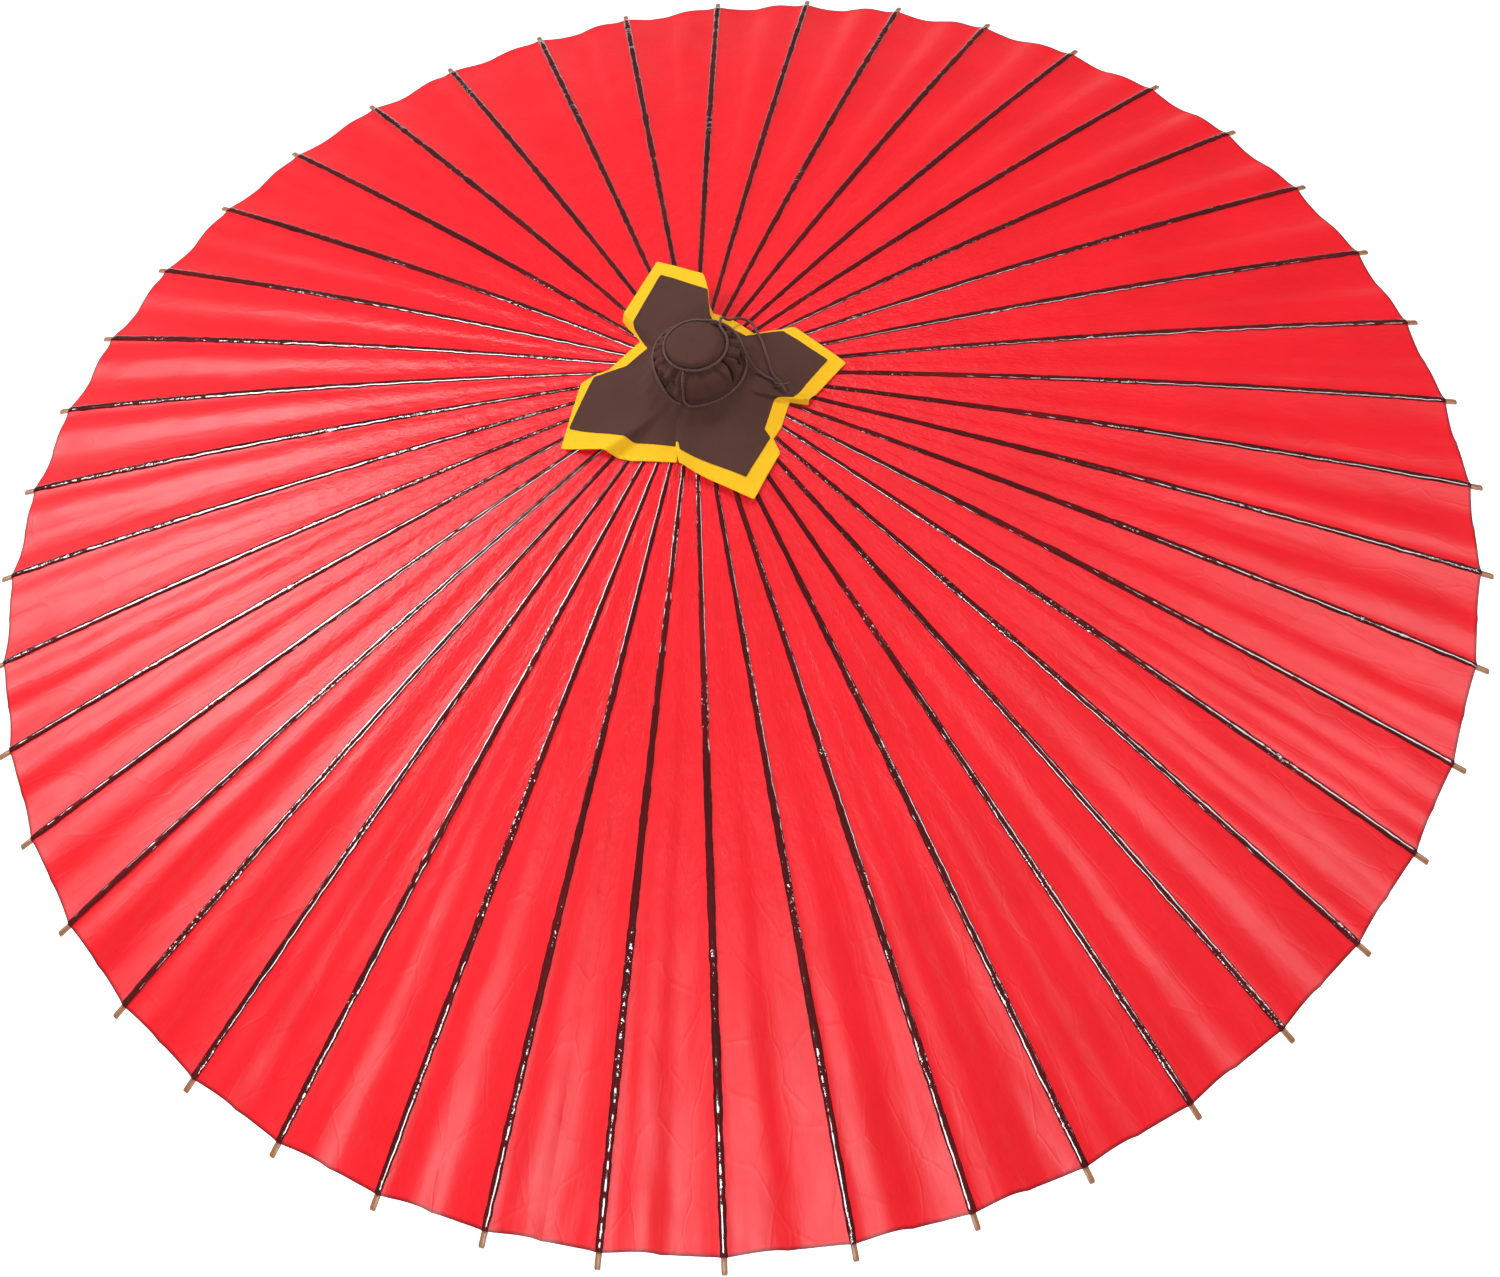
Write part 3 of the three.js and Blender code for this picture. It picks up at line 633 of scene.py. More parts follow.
def tube(name, path, radius, mat, sides=12, ends=True):
    """A round tube along the points, with rounded ends and (length, turn) as its uv."""
    pts = [Vector(p) for p in path]
    verts, uvs, faces = [], [], []
    tangent = (pts[1] - pts[0]).normalized()
    normal = tangent.orthogonal().normalized()
    run = 0.0
    rings = []

    def ring(at, r, along):
        side = tangent.cross(normal).normalized()
        first = len(verts)
        for j in range(sides):
            a = 2 * math.pi * j / sides
            verts.append(at + (normal * math.cos(a) + side * math.sin(a)) * r)
            uvs.append((along * MM, a * radius * MM))
        return first

    for i, p in enumerate(pts):
        if i:
            run += (p - pts[i - 1]).length
        t = ((pts[min(i + 1, len(pts) - 1)] - pts[max(i - 1, 0)])).normalized()
        q = tangent.rotation_difference(t)
        normal = (q @ normal).normalized()
        normal = (normal - t * normal.dot(t)).normalized()
        tangent = t
        if i == 0:
            rings.append(ring(p - t * radius * 0.6, radius * 0.5, run - radius * 0.6))
            rings.append(ring(p - t * radius * 0.25, radius * 0.85, run - radius * 0.25))
        rings.append(ring(p, radius, run))
    rings.append(ring(p + t * radius * 0.25, radius * 0.85, run + radius * 0.25))
    rings.append(ring(p + t * radius * 0.6, radius * 0.5, run + radius * 0.6))
    for a, b_ in zip(rings[:-1], rings[1:]):
        for j in range(sides):
            k = (j + 1) % sides
            faces.append((a + j, a + k, b_ + k, b_ + j))
    faces.append(tuple(rings[0] + j for j in reversed(range(sides))))
    faces.append(tuple(rings[-1] + j for j in range(sides)))
    return make(name, [tuple(v) for v in verts], faces, [mat], uvs=uvs)


UPPER = polar(
    [
        (-17.2, 88.5, 300),
        (-12, 84.9, 301),
        (-9, 76, 303.2),
        (-5.2, 68.6, 306.6),
        (-3.4, 63.8, 313.6),
        (-3.4, 61.2, 322),
        (-2.4, 58.6, 331),
        (1, 56.4, 339.5),
        (8, 54.8, 346),
        (16, 53.9, 349.6),
        (26, 52.6, 350.9),
        (36, 50.4, 352.4),
        (46, 46.8, 355.2),
        (54, 43.8, 357.4),
        *turns(66, 382, 34.5, 357.7),
        (34.5, 43.2, 358.8),
        (40, 47.8, 358.8),
        (44.5, 54, 355),
        (48, 61.5, 345),
        (51, 70, 331),
        (53.4, 81.5, 315),
        (53.8, 92, 304.6),
        (51, 98.5, 299),
        (47.2, 100.6, 296.8),
        (42.5, 98.8, 297),
        (37.2, 94.3, 298.6),
        (32.3, 90.8, 299.8),
        (25.9, 87.8, 300.3),
        (17.5, 83.9, 300.8),
        (9.2, 82, 301),
        (0, 81.6, 301.1),
        (-7.8, 84.4, 301.3),
        (-13.2, 89.6, 303.6),
    ]
)
LOWER = polar(
    [
        (-119.5, 36.9, 356.2, HEAD),
        (-118.6, 41.35, 352.6, HEAD),
        (-117.2, 46.9, 346.6, HEAD),
        (-116.4, 49, 341, HEAD),
        (-116, 50.9, 334, HEAD),
        (-115.4, 52.5, 328.6, HEAD),
        (-113.2, 54.2, 324.4, HEAD),
        (-109, 55.1, 322, HEAD),
        (-103, 55, 321.6, HEAD),
        (-96, 54.7, 321.7, HEAD),
        (-87, 54.1, 322.2, HEAD),
        (-75, 53.2, 322.3, HEAD),
        (-62, 52.8, 322.2, HEAD),
        (-47, 52.4, 322, HEAD),
        (-30, 52.2, 321.6, HEAD),
        (-12, 52, 322.4, HEAD),
        (5, 51.6, 325, HEAD),
        (20, 51, 328, HEAD),
        (40, 50.7, 331, HEAD),
        (60, 50.3, 334, HEAD),
        (80, 50, 336, HEAD),
        (100, 49.7, 338, HEAD),
        (120, 49, 340, HEAD),
        (140, 48.5, 341.5, HEAD),
        (160, 48.3, 342, HEAD),
        (178, 48.5, 341.4, HEAD),
        (194, 49.3, 339, HEAD),
        (205, 50.4, 336, HEAD),
        (217, 52.1, 330, HEAD),
        (229, 54, 323.6, HEAD),
        (241, 55, 321.4, HEAD),
    ]
)


upper_path, lower_path = centripetal(UPPER), centripetal(LOWER)
cord_upper = tube("tie_cord_upper", upper_path, CORD_R, M_CORD)
cord_lower = tube("tie_cord_lower", lower_path, CORD_R, M_CORD)

# the knot that joins the cord's two ends, with its short tails
kn = (upper_path[0] + upper_path[-1]) / 2 + Vector((1.0, -0.5, 0))
knot_path = []
for k in range(61):
    t = 2 * math.pi * k / 60 * 0.97
    x = math.sin(t) + 2 * math.sin(2 * t)
    y = math.cos(t) - 2 * math.cos(2 * t)
    z = -math.sin(3 * t)
    knot_path.append(kn + Vector((x * 1.15, y * 1.15, z * 1.3)))
knot = tube("tie_knot", knot_path, 1.25, M_CORD, 10)
tail_a = tube("tie_tail_a", [kn + Vector(p) for p in ((1.5, -1, 0.6), (5, -2.2, 0.2), (8.5, -1.6, -0.8), (12, 0.2, -1.8))], 1.25, M_CORD, 10)
tail_b = tube("tie_tail_b", [kn + Vector(p) for p in ((1.5, -1.5, 1.0), (4, -4.4, 0.6), (5.4, -7.6, -0.8), (5.8, -10.6, -1.8))], 1.25, M_CORD, 10)
for o in (cord_upper, cord_lower, knot, tail_a, tail_b):
    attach(o, "umbrella_pole")
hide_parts("cover_cord_upper")
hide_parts("cover_cord_lower")


# ------------------------------------------------------------------------- paper
def wave(t):
    """How the paper stands between two ribs, t from one rib (0) clockwise to the next (1): a valley, then a low hump beside the next rib."""
    t = np.asarray(t, float)
    p = np.array([0, 0.06, 0.14, 0.24, 0.34, 0.40, 0.46, 0.52, 0.58, 0.64, 0.71, 0.78, 0.85, 0.90, 0.95, 1.0])
    v = np.array([0, -0.24, -0.56, -0.86, -1.0, -0.96, -0.80, -0.50, -0.18, 0.05, 0.12, 0.02, -0.18, -0.28, -0.21, 0.0])
    # smooth interpolation through the table
    m = np.gradient(v, p)
    i = np.clip(np.searchsorted(p, t, side="right") - 1, 0, len(p) - 2)
    h = p[i + 1] - p[i]
    x = (t - p[i]) / h
    return (
        (2 * x**3 - 3 * x**2 + 1) * v[i]
        + (x**3 - 2 * x**2 + x) * h * m[i]
        + (-2 * x**3 + 3 * x**2) * v[i + 1]
        + (x**3 - x**2) * h * m[i + 1]
    )


def panel_height(r, t, panel):
    """Offset from the cone in mm at radius r and share t of the panel clockwise of rib `panel`."""
    q = r / TIP_R
    amp = 7.4 * (0.86 + 0.28 * noise2(panel * 7.31, 0.5, 3)) * q**1.45
    z = amp * wave(t)
    # the fold that the paper keeps from being shut, along each panel's middle
    at = 0.47 + 0.03 * noise2(panel * 3.7, r / 160.0, 5)
    deep = 0.34 * (0.55 + 0.45 * noise2(r / 90.0, panel * 6.7, 6))
    z = z - 1.3 * deep * np.exp(-np.abs(t - at) * r * 0.1428 / 2.2) * smooth(r, 90, 260)
    # and a fainter one beside it, that comes and goes
    at2 = 0.25 + 0.05 * noise2(panel * 5.9, r / 210.0, 15)
    z = z - 0.62 * smooth(noise2(r / 150.0, panel * 8.3, 16), -0.25, 0.5) * np.exp(-np.abs(t - at2) * r * 0.1428 / 2.6) * smooth(r, 200, 420)
    # slack between the folds, fading at the ribs, which hold it flat
    hold = np.clip(np.minimum(t, 1 - t) * r * 0.1428 / 16.0, 0, 1)
    z = z + hold * (
        0.9 * noise2(r / 70.0, panel * 5.3 + t * r * 0.1428 / 34.0, 11) * q
        + 0.5 * noise2(r / 26.0, panel * 9.1 + t * r * 0.1428 / 15.0, 12)
        + 0.7 * noise2(r / 15.0, panel * 2.9 + t * 3.0, 13) * smooth(r, 330, 120)
    )
    return z


def edge_in(t):
    """The rim's slight hollow between two ribs, in mm."""
    t = np.clip(t, 0, 1)
    return 4.9 * np.sin(np.pi * t) ** 0.62 - 0.9 * np.exp(-(((t - 0.5) / 0.05) ** 2))


R_ROWS = np.concatenate([np.linspace(46, 120, 9)[:-1], np.linspace(120, 866, 52), [869.5, 872.2, 874.2, PAPER_OUT]])
HALF = 12
gores = []
for i in range(RIBS):
    a0 = RIB_A[i]
    a_cw = RIB_A[(i + 1) % RIBS]  # the next rib clockwise
    a_ccw = RIB_A[(i - 1) % RIBS]
    gap_cw = (a0 - a_cw) % (2 * math.pi)
    gap_ccw = (a_ccw - a0) % (2 * math.pi)
    # columns from the middle of the panel anticlockwise of this rib to the middle of the one clockwise
    share = np.concatenate([np.linspace(-0.5, 0, HALF + 1)[:-1], np.linspace(0, 0.5, HALF + 1)])
    rr, ss = np.meshgrid(R_ROWS, share, indexing="ij")
    ang = np.where(ss < 0, a0 - ss * gap_ccw, a0 - ss * gap_cw)
    t = np.where(ss < 0, 1 + ss, ss)
    panel = np.where(ss < 0, (i - 1) % RIBS, i)
    inward = edge_in(t) * smooth(rr, 560, PAPER_OUT) ** 2
    r = rr - inward
    z = paper_z(r) + panel_height(rr, t, panel)
    hem = smooth(rr, 867, 871) * (1 - smooth(rr, 873.5, PAPER_OUT))
    thick = 0.34 + 0.5 * hem
    top = np.stack([r * np.cos(ang), r * np.sin(ang), z + 0.25 * hem], -1)
    bottom = np.stack([r * np.cos(ang), r * np.sin(ang), z - thick], -1)
    verts, faces, walls = shell(top, bottom)
    o = make("paper_gore_%02d" % (i + 1), verts, faces, [M_PAPER])
    # the texture runs on through the joins in mid panel, and breaks under the ribs' lacquer
    me = o.data
    loops = np.empty(len(me.loops), np.int32)
    me.loops.foreach_get("vertex_index", loops)
    cols = len(share)
    row, col = (loops % (len(R_ROWS) * cols)) // cols, loops % cols
    side = np.repeat(np.where(col.reshape(-1, 4).mean(1) < HALF, 0, 1), 4)
    seam = np.where(side == 0, (i - 1) % RIBS, i) * 0.731
    across = np.where(side == 0, share[col] + 0.5, share[col] - 0.5) * R_ROWS[row] * 0.1428 * MM
    layer = me.uv_layers.new(name="uv")
    layer.data.foreach_set("uv", np.stack([R_ROWS[row] * MM, seam + across], -1).astype(np.float32).ravel())
    sharpen(o, 40)
    gores.append((o, a0))


# -------------------------------------------------------------------------- ribs
def swept(stations, section, closed_ends=True):
    """Rings of points, one for each station: section(k) gives an (n, 3) array. Returns verts and faces."""
    rings = [section(k) for k in stations]
    n = len(rings[0])
    verts = np.vstack(rings)
    faces = grid_faces(len(rings), n, wrap=True)
    if closed_ends:
        faces.append(tuple(range(n)))
        faces.append(tuple(reversed(range((len(rings) - 1) * n, len(rings) * n))))
    return verts, faces


def between(x, table):
    return float(np.interp(x, [p[0] for p in table], [p[1] for p in table]))


def rib_top(r):
    return paper_z(r) - 1.9


def rib_depth(r):
    return between(r, [(46, 7.6), (150, 7.2), (480, 6.2), (TIP_R, 4.3)])


def rib_width(r):
    return 2.4 if r <= 44 else 2.9 + (6.3 - 2.9) * (r - 47) / (TIP_R - 47)


def in_plane(a, r, across, z):
    ca, sa = math.cos(a), math.sin(a)
    r, across, z = np.broadcast_arrays(np.asarray(r, float), np.asarray(across, float), np.asarray(z, float))
    return np.stack([r * ca - across * sa, r * sa + across * ca, z], -1)


def merge(parts):
    """[(verts, faces, material index, uvs)] as one mesh's lists."""
    verts, faces, mats, uvs = [], [], [], []
    n = 0
    for v, f, m, u in parts:
        verts.append(np.asarray(v, float))
        faces += [tuple(x + n for x in q) for q in f]
        mats += [m] * len(f)
        uvs.append(np.asarray(u, float))
        n += len(v)
    return np.vstack(verts), faces, mats, np.vstack(uvs)


def ridge_half(r):
    return 0.5 * between(r, [(50, 4.6), (200, 5.8), (300, 6.8), (400, 7.5), (500, 8.1), (700, 8.4), (880, 8.0)])


def wrap_thread(a, r, width, top, bottom, slope, turns_=5, wire=0.45):
    """Turns of thread round a bar: small flat rings side by side."""
    out = []
    for k in range(turns_):
        rr = r + (k - (turns_ - 1) / 2) * wire * 2.05
        zt, zb = top + (rr - r) * slope, bottom + (rr - r) * slope
        w = width / 2
        loop = [(-w - wire, zb), (-w - wire, zt), (-w, zt + wire), (w, zt + wire), (w + wire, zt), (w + wire, zb), (w, zb - wire), (-w, zb - wire)]
        rings = []
        for dr, grow in ((-wire, 0), (-wire * 0.5, wire * 0.8), (wire * 0.5, wire * 0.8), (wire, 0)):
            cy = np.array([y for y, _ in loop])
            cz = np.array([z for _, z in loop])
            mid = (zt + zb) / 2
            cy2 = cy + np.sign(cy) * grow
            cz2 = cz + np.sign(cz - mid) * grow
            rings.append(in_plane(a, rr + dr, cy2, cz2))
        v = np.vstack(rings)
        f = grid_faces(4, 8, wrap=True)
        f.append(tuple(range(8)))
        f.append(tuple(reversed(range(24, 32))))
        out.append((v, f, 3, np.zeros((len(v), 2))))
    return out


STATIONS = np.concatenate([[29.2, 33, 38, 44, 47], np.linspace(70, 870, 41), [874.5, 878, 882, 887.4, TIP_R]])
ribs = []
for i, a in enumerate(RIB_A):
    knots = (292 + 26 * _hash(i, 1, 21), 655 + 30 * _hash(i, 2, 21))

    def section(r, i=i, a=a, knots=knots):
        w = rib_width(r) / 2
        zt, d = rib_top(r), rib_depth(r)
        if r < 44:
            zt, d = min(zt, PIVOT_Z + 4), 8.0
            zt = PIVOT_Z + 4 - 0.12 * (r - 29.2)
        swell = sum(math.exp(-(((r - k) / 5.0) ** 2)) for k in knots)
        w += 0.35 * swell
        d += 0.5 * swell
        if r > TIP_R - 1:
            w -= 0.6
            d -= 0.8
            zt -= 0.4
        if r > 872:
            zt += 0.9 * smooth(r, 872, 876)
        cut = min(0.9, w * 0.35)
        ys = np.array([-w, -w + cut, w - cut, w, w, w - cut, -w + cut, -w])
        zs = np.array([zt - cut * 0.7, zt, zt, zt - cut * 0.7, zt - d + cut, zt - d, zt - d, zt - d + cut])
        return in_plane(a, r, -ys, zs)

    v, f = swept(STATIONS, section)
    uv = np.repeat(STATIONS, 8)[:, None] * np.array([[MM, 0]]) + np.tile(np.array([-3, -2, 2, 3, 5, 8, 10, 12]), len(STATIONS))[:, None] * np.array([[0, MM]]) + i * 0.613
    tip_faces = [1 if k // 8 >= len(STATIONS) - 6 and k < (len(STATIONS) - 1) * 8 else 0 for k in range(len(f))]
    tip_faces[-1] = 1
    parts = [(v, f, 0, uv)]

    # the lacquered line over the paper
    RS = np.concatenate([np.linspace(50, 868, 250), [871.5, 874.5]])

    def ridge(r, i=i, a=a):
        h = ridge_half(r) * (1 + 0.12 * float(noise2(r / 10.0, i * 3.1, 31)) + 0.08 * float(noise2(r / 4.3, i * 5.7, 32)))
        tall = (1.2 + 0.6 * r / TIP_R) * (1 + 0.20 * float(noise2(r / 8.5, i * 4.3, 33)) + 0.13 * float(noise2(r / 3.7, i * 6.1, 34)))
        tall *= 1.0 if r < 870 else (0.75 if r < 873 else 0.3)
        if r < 52:
            tall *= 0.4
        crest = 0.22 * float(noise2(r / 13.0, i * 2.3, 35))
        ys = h * np.array([-1.0, -0.88, -0.62, -0.24, 0.24, 0.62, 0.88, 1.0]) + crest
        zs = tall * np.array([0.0, 0.40, 0.78, 1.0, 1.0, 0.78, 0.40, 0.0])
        base = paper_z(r) - 0.1
        top = in_plane(a, r, -ys, base + zs)
        low = in_plane(a, r, -np.array([0.9, -0.9]) * h - crest, base + np.full(2, -1.0))
        return np.vstack([top, low])

    v2, f2 = swept(RS, ridge)
    uv2 = np.repeat(RS, 10)[:, None] * np.array([[MM, 0]]) + np.tile(np.array([0, 1, 2, 3.4, 4.8, 6.2, 7.2, 8.2, 9.2, -1.0]), len(RS))[:, None] * np.array([[0, MM]]) + i * 0.813
    parts.append((v2, f2, 2, uv2))
    parts += wrap_thread(a, 396.0, rib_width(396), rib_top(396) - 1.2, rib_top(396) - rib_depth(396), -0.33)
    parts += wrap_thread(a, 422.0, rib_width(422), rib_top(422) - 1.2, rib_top(422) - rib_depth(422), -0.33)
    V, F, MI, UV = merge(parts)
    for k in range(len(f)):
        MI[k] = tip_faces[k]
    o = make("rib_%02d_bamboo" % (i + 1), V, F, [M_RIB, M_TIP, M_LACQUER, M_THREAD], MI, UV)
    sharpen(o, 38)
    body = "rib_body_%02d" % (i + 1)
    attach(o, body)
    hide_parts("rib_%02d" % (i + 1))
    ribs.append(o)

for i, (o, a) in enumerate(gores):
    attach(o, "rib_body_%02d" % (i + 1))
    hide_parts("canopy", "rim_thread")
    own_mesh(o)

# ------------------------------------------------------------------------ struts
SLOPE = (STRUT_END[1] + RIM_Z - RUN_PIVOT_Z) / (STRUT_END[0] - RUN_PIVOT_R)


def strut_z(r):
    return RUN_PIVOT_Z + (r - RUN_PIVOT_R) * SLOPE


for i, a in enumerate(RIB_A):
    SS = np.concatenate([[27.4, 30, 36, 41], np.linspace(52, 380, 18), [388, 396, 404, 411]])

    def bar(r, a=a, i=i):
        w = 0.5 * between(r, [(39.5, 2.0), (388, 3.0), (396, 1.8), (411, 1.8)])
        up_ = between(r, [(27.4, 2.6), (41, 3.0), (388, 3.0), (411, 1.8)])
        dn = between(r, [(27.4, 2.6), (41, 3.0), (388, 3.0), (411, 2.1)])
        k = 0.28 * math.exp(-(((r - 170 - 20 * _hash(i, 5, 8)) / 4.5) ** 2))
        w, up_, dn = w + k, up_ + k, dn + k
        cut = 0.35 * w
        ys = np.array([-w, -w + cut, w - cut, w, w, w - cut, -w + cut, -w])
        zs = strut_z(r) + np.array([up_ - cut, up_, up_, up_ - cut, -dn + cut, -dn, -dn, -dn + cut])
        return in_plane(a, r, -ys, zs)

    v, f = swept(SS, bar)
    uv = np.repeat(SS, 8)[:, None] * np.array([[MM, 0]]) + np.tile(np.array([-3, -2, 2, 3, 5, 8, 10, 12]), len(SS))[:, None] * np.array([[0, MM]]) + i * 0.377
    parts = [(v, f, 0, uv)]
    parts += [(p[0], p[1], 1, p[3]) for p in wrap_thread(a, 386.0, 3.0, strut_z(386) + 2.8, strut_z(386) - 2.8, SLOPE, 4, 0.4)]
    V, F, MI, UV = merge(parts)
    o = make("strut_%02d" % (i + 1), V, F, [M_STRUT, M_THREAD], MI, UV)
    sharpen(o, 38)
    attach(o, "runner")
    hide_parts("strut_set")
    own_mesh(o)

# ------------------------------------------------------------------- head cloth
LINING = [
    (-167.1, 164.2), (-136.8, 116.6), (-109.7, 102.6), (-108.7, 109.3), (-76.2, 157),
    (-54.5, 128.4), (-51.0, 111.6), (-41.8, 109.1), (-24.3, 104.4), (-21.9, 123.9),
    (3.7, 166.7), (29.3, 134.8), (31.1, 120.5), (38.5, 91.7), (59.1, 98.5),
    (73.9, 104.3), (76.0, 130.3), (79.0, 151.5), (96.4, 181.0), (123.5, 127.3),
    (124.6, 104.8), (126.0, 92.0), (153.8, 104.0), (157.6, 119.9), (162.3, 133.0),
    (192.9, 164.2),
]
TOP = [
    (-174.1, 148.7), (-143.9, 101.2), (-111.3, 85.9), (-109.5, 93.9), (-75.2, 131.9),
    (-52.1, 109.7), (-50.1, 97.6), (-26.2, 88.6), (-21.9, 108.3), (5.4, 147.4),
    (29.7, 119.4), (40.3, 81.8), (72.2, 91.0), (76.3, 127.6), (96.8, 159.5),
    (121.3, 112.3), (123.0, 107.0), (128.7, 75.5), (150.5, 85.0), (159.2, 119.4),
    (185.9, 148.7),
]


def outline(points):
    """The radius of a star-shaped outline of straight edges, as a function of degrees."""
    xy = np.array([(r * math.cos(math.radians(d)), r * math.sin(math.radians(d))) for d, r in points])
    deg = [d for d, _ in points]

    def radius(d):
        d = (d - deg[0]) % 360 + deg[0]
        j = max(k for k in range(len(deg)) if deg[k] <= d + 1e-9)
        j = min(j, len(deg) - 2)
        p, q = xy[j], xy[j + 1]
        u = np.array([math.cos(math.radians(d)), math.sin(math.radians(d))])
        w = q - p
        den = u[0] * w[1] - u[1] * w[0]
        return float((p[0] * w[1] - p[1] * w[0]) / den) if abs(den) > 1e-9 else float(np.hypot(*p))

    return radius


lining_r, top_r = outline(LINING), outline(TOP)

# Flap sectors, in degrees: the fold lines that the cloth hangs by.
SECTORS = [
    ("b", -110.0, -51.0), ("rb", -51.0, -24.2), ("c", -24.2, 36.0), ("ur", 36.0, 74.6),
    ("a", 74.6, 124.8), ("ll", 124.8, 155.5), ("l", 155.5, 216.0), ("lb", 216.0, 250.0),
]


def lift(d, r):
    """Height of the cloth over the cone, in mm, at d degrees and radius r."""
    d = (d + 170) % 360 - 170  # -170..190
    h = 2.75 + 0 * r
    far = np.clip((r - 52) / 60.0, 0, 1.3)
    arc = r * math.pi / 180

    def fold_edge(line, height, width):
        """A folded edge: a step up at the line, highest just inside it."""
        x = (d - line) * arc
        return smooth(x, -0.9, 0.5) * height * np.exp(-((np.maximum(x, 0) / width) ** 2))

    # the back flap stands up off the paper
    line_a = 71.0 + (r - 83) * 0.105
    a = smooth(d, line_a - 1.0, line_a + 0.6) * (1 - smooth(d, 120.5, 126.5))
    h = h + a * (1.2 + 34.0 * np.clip((r - 56) / 126.0, 0, 1.1))
    # right flap: a sharp folded edge below, a soft one above
    line_c = -30.5 + (r - 52) * 0.13
    cc = smooth((d - line_c) * arc, -0.9, 0.5) * (1 - smooth(d, 29, 40))
    h = h + cc * (0.9 + 0.5 * far) + fold_edge(line_c, 3.8, 9.0) * (0.4 + far)
    # front flap: a sharp folded edge on its left, falling to the paper on its right
    line_b = -120.5 + (r - 46) * 0.175
    bb = smooth((d - line_b) * arc, -0.9, 0.5) * (1 - smooth(d, -56, -46))
    h = h + bb * (1.8 + 1.8 * far) + fold_edge(line_b, 7.0, 15.0) * (0.5 + far)
    # left flap: soft on both sides, falling into a fold before the front flap
    dl = np.where(d < 0, d + 360, d)
    line_l = 219.5 - (r - 46) * 0.12
    ll = smooth(dl, 148, 164) * (1 - smooth(dl, line_l - 1, line_l + 6))
    h = h + ll * (1.6 + 11.0 * far * smooth(dl, 190, 216))
    h = h + 0.45 * noise2(np.cos(np.radians(d)) * r / 17.0 + 9, np.sin(np.radians(d)) * r / 17.0 + 5, 41) * far
    return h


def crown(d, s_):
    """Radius and height over the rim plane of the tied part, s_ from 0 at the middle of the top to 1 under the lower cord."""
    prof = [
        (0.0, 0.0, 366.4), (0.10, 12, 366.4), (0.18, 20, 366.1), (0.225, 24.4, 365.3), (0.26, 27.2, 363.4), (0.30, 29.4, 361.0),
        (0.345, 31.1, 358.6), (0.385, 31.6, 356.9), (0.42, 31.4, 354.8), (0.45, 33.2, 353.0), (0.50, 38.0, 351.6),
        (0.56, 43.4, 348.4), (0.62, 47.0, 343.8), (0.69, 49.2, 337.8), (0.76, 50.2, 331.6), (0.83, 50.3, 327.2),
        (0.88, 49.8, 324.6), (0.92, 49.8, 322.6), (1.0, 50.9, 320.2),
    ]
    r = np.interp(s_, [p[0] for p in prof], [p[1] for p in prof])
    z = np.interp(s_, [p[0] for p in prof], [p[2] for p in prof])
    # the shoulder is squarer where the cloth is pulled over the hub's edge, at the front left
    hx = HEAD_SET[0] * np.cos(np.radians(d)) + HEAD_SET[1] * np.sin(np.radians(d))
    hub = -hx + np.sqrt(21.8**2 - (HEAD_SET[0] ** 2 + HEAD_SET[1] ** 2 - hx**2))
    w = smooth(hub, 19.0, 26.0)
    knots = [0.0, 0.18, 0.225, 0.26, 0.30, 0.345, 0.385, 1.0]
    r = r + w * np.interp(s_, knots, [0, 1.5, 3.2, 3.6, 2.5, 1.2, 0.2, 0])
    z = z + w * np.interp(s_, knots, [0, 0.1, 0.7, 1.6, 1.4, 0.6, 0.0, 0])
    return r, z


rng = np.random.default_rng(7)
GROOVES = [
    (-154, 4.2, 5.0, 16), (-134, 5.0, 6.5, -12), (-119, 5.2, 4.2, 6), (-88, 1.5, 4.0, 10), (-60, 3.0, 2.8, 12),
    (-41, 9.0, 4.6, -7), (-23, 6.4, 3.4, 14), (-6, 5.6, 3.6, -10), (13, 5.2, 4.0, 9),
]
GROOVES += [(d, 2.2 + 1.6 * rng.random(), 2.8 + 1.6 * rng.random(), rng.uniform(-10, 10)) for d in range(30, 228, 15)]


def folds(d, s_):
    """Depth of the gathers between the two turns of cord."""
    out = np.zeros(np.broadcast(d, s_).shape)
    for at, deep, wide, slant in GROOVES:
        x = (d - at - slant * (s_ - 0.6) * 2.2 + 180) % 360 - 180
        out = out + deep * np.exp(-((x / wide) ** 2))
    bell = smooth(s_, 0.36, 0.50) * (1 - smooth(s_, 0.74, 0.86))
    near = smooth(s_, 0.40, 0.46) * (1 - smooth(s_, 0.46, 0.60))
    ripple = 0.8 * np.sin(np.radians(d) * 31 + 2 * noise2(d / 20.0, 0.3, 51))
    return out * bell + ripple * near - 0.9 * bell


CROWN_COLS = 300
sr = np.concatenate([np.linspace(0.0, 0.30, 12)[1:], np.linspace(0.30, 1.0, 54)[1:]])
dd = np.arange(CROWN_COLS) * 360.0 / CROWN_COLS - 180
S2, D2 = np.meshgrid(sr, dd, indexing="ij")
rc, zc = crown(D2, S2)
fd = folds(D2, S2)
rc = rc - fd * 0.9
zc = zc - fd * 0.55
# a slack roll of cloth hanging over the bulge at the front left, with a pocket under it
DW = (D2 + 360) % 360
roll = smooth(DW, 168, 188) * (1 - smooth(DW, 229, 238))
pocket = smooth(DW, 198, 209) * (1 - smooth(DW, 228, 236))
line = 0.535 + 0.035 * np.sin(np.radians((DW - 190) * 3.2))
rc = rc + 3.0 * roll * np.exp(-(((S2 - line) / 0.048) ** 2))
rc = rc - 6.2 * pocket * np.exp(-(((S2 - line - 0.115) / 0.050) ** 2))
zc = zc - 2.4 * pocket * np.exp(-(((S2 - line - 0.115) / 0.050) ** 2))
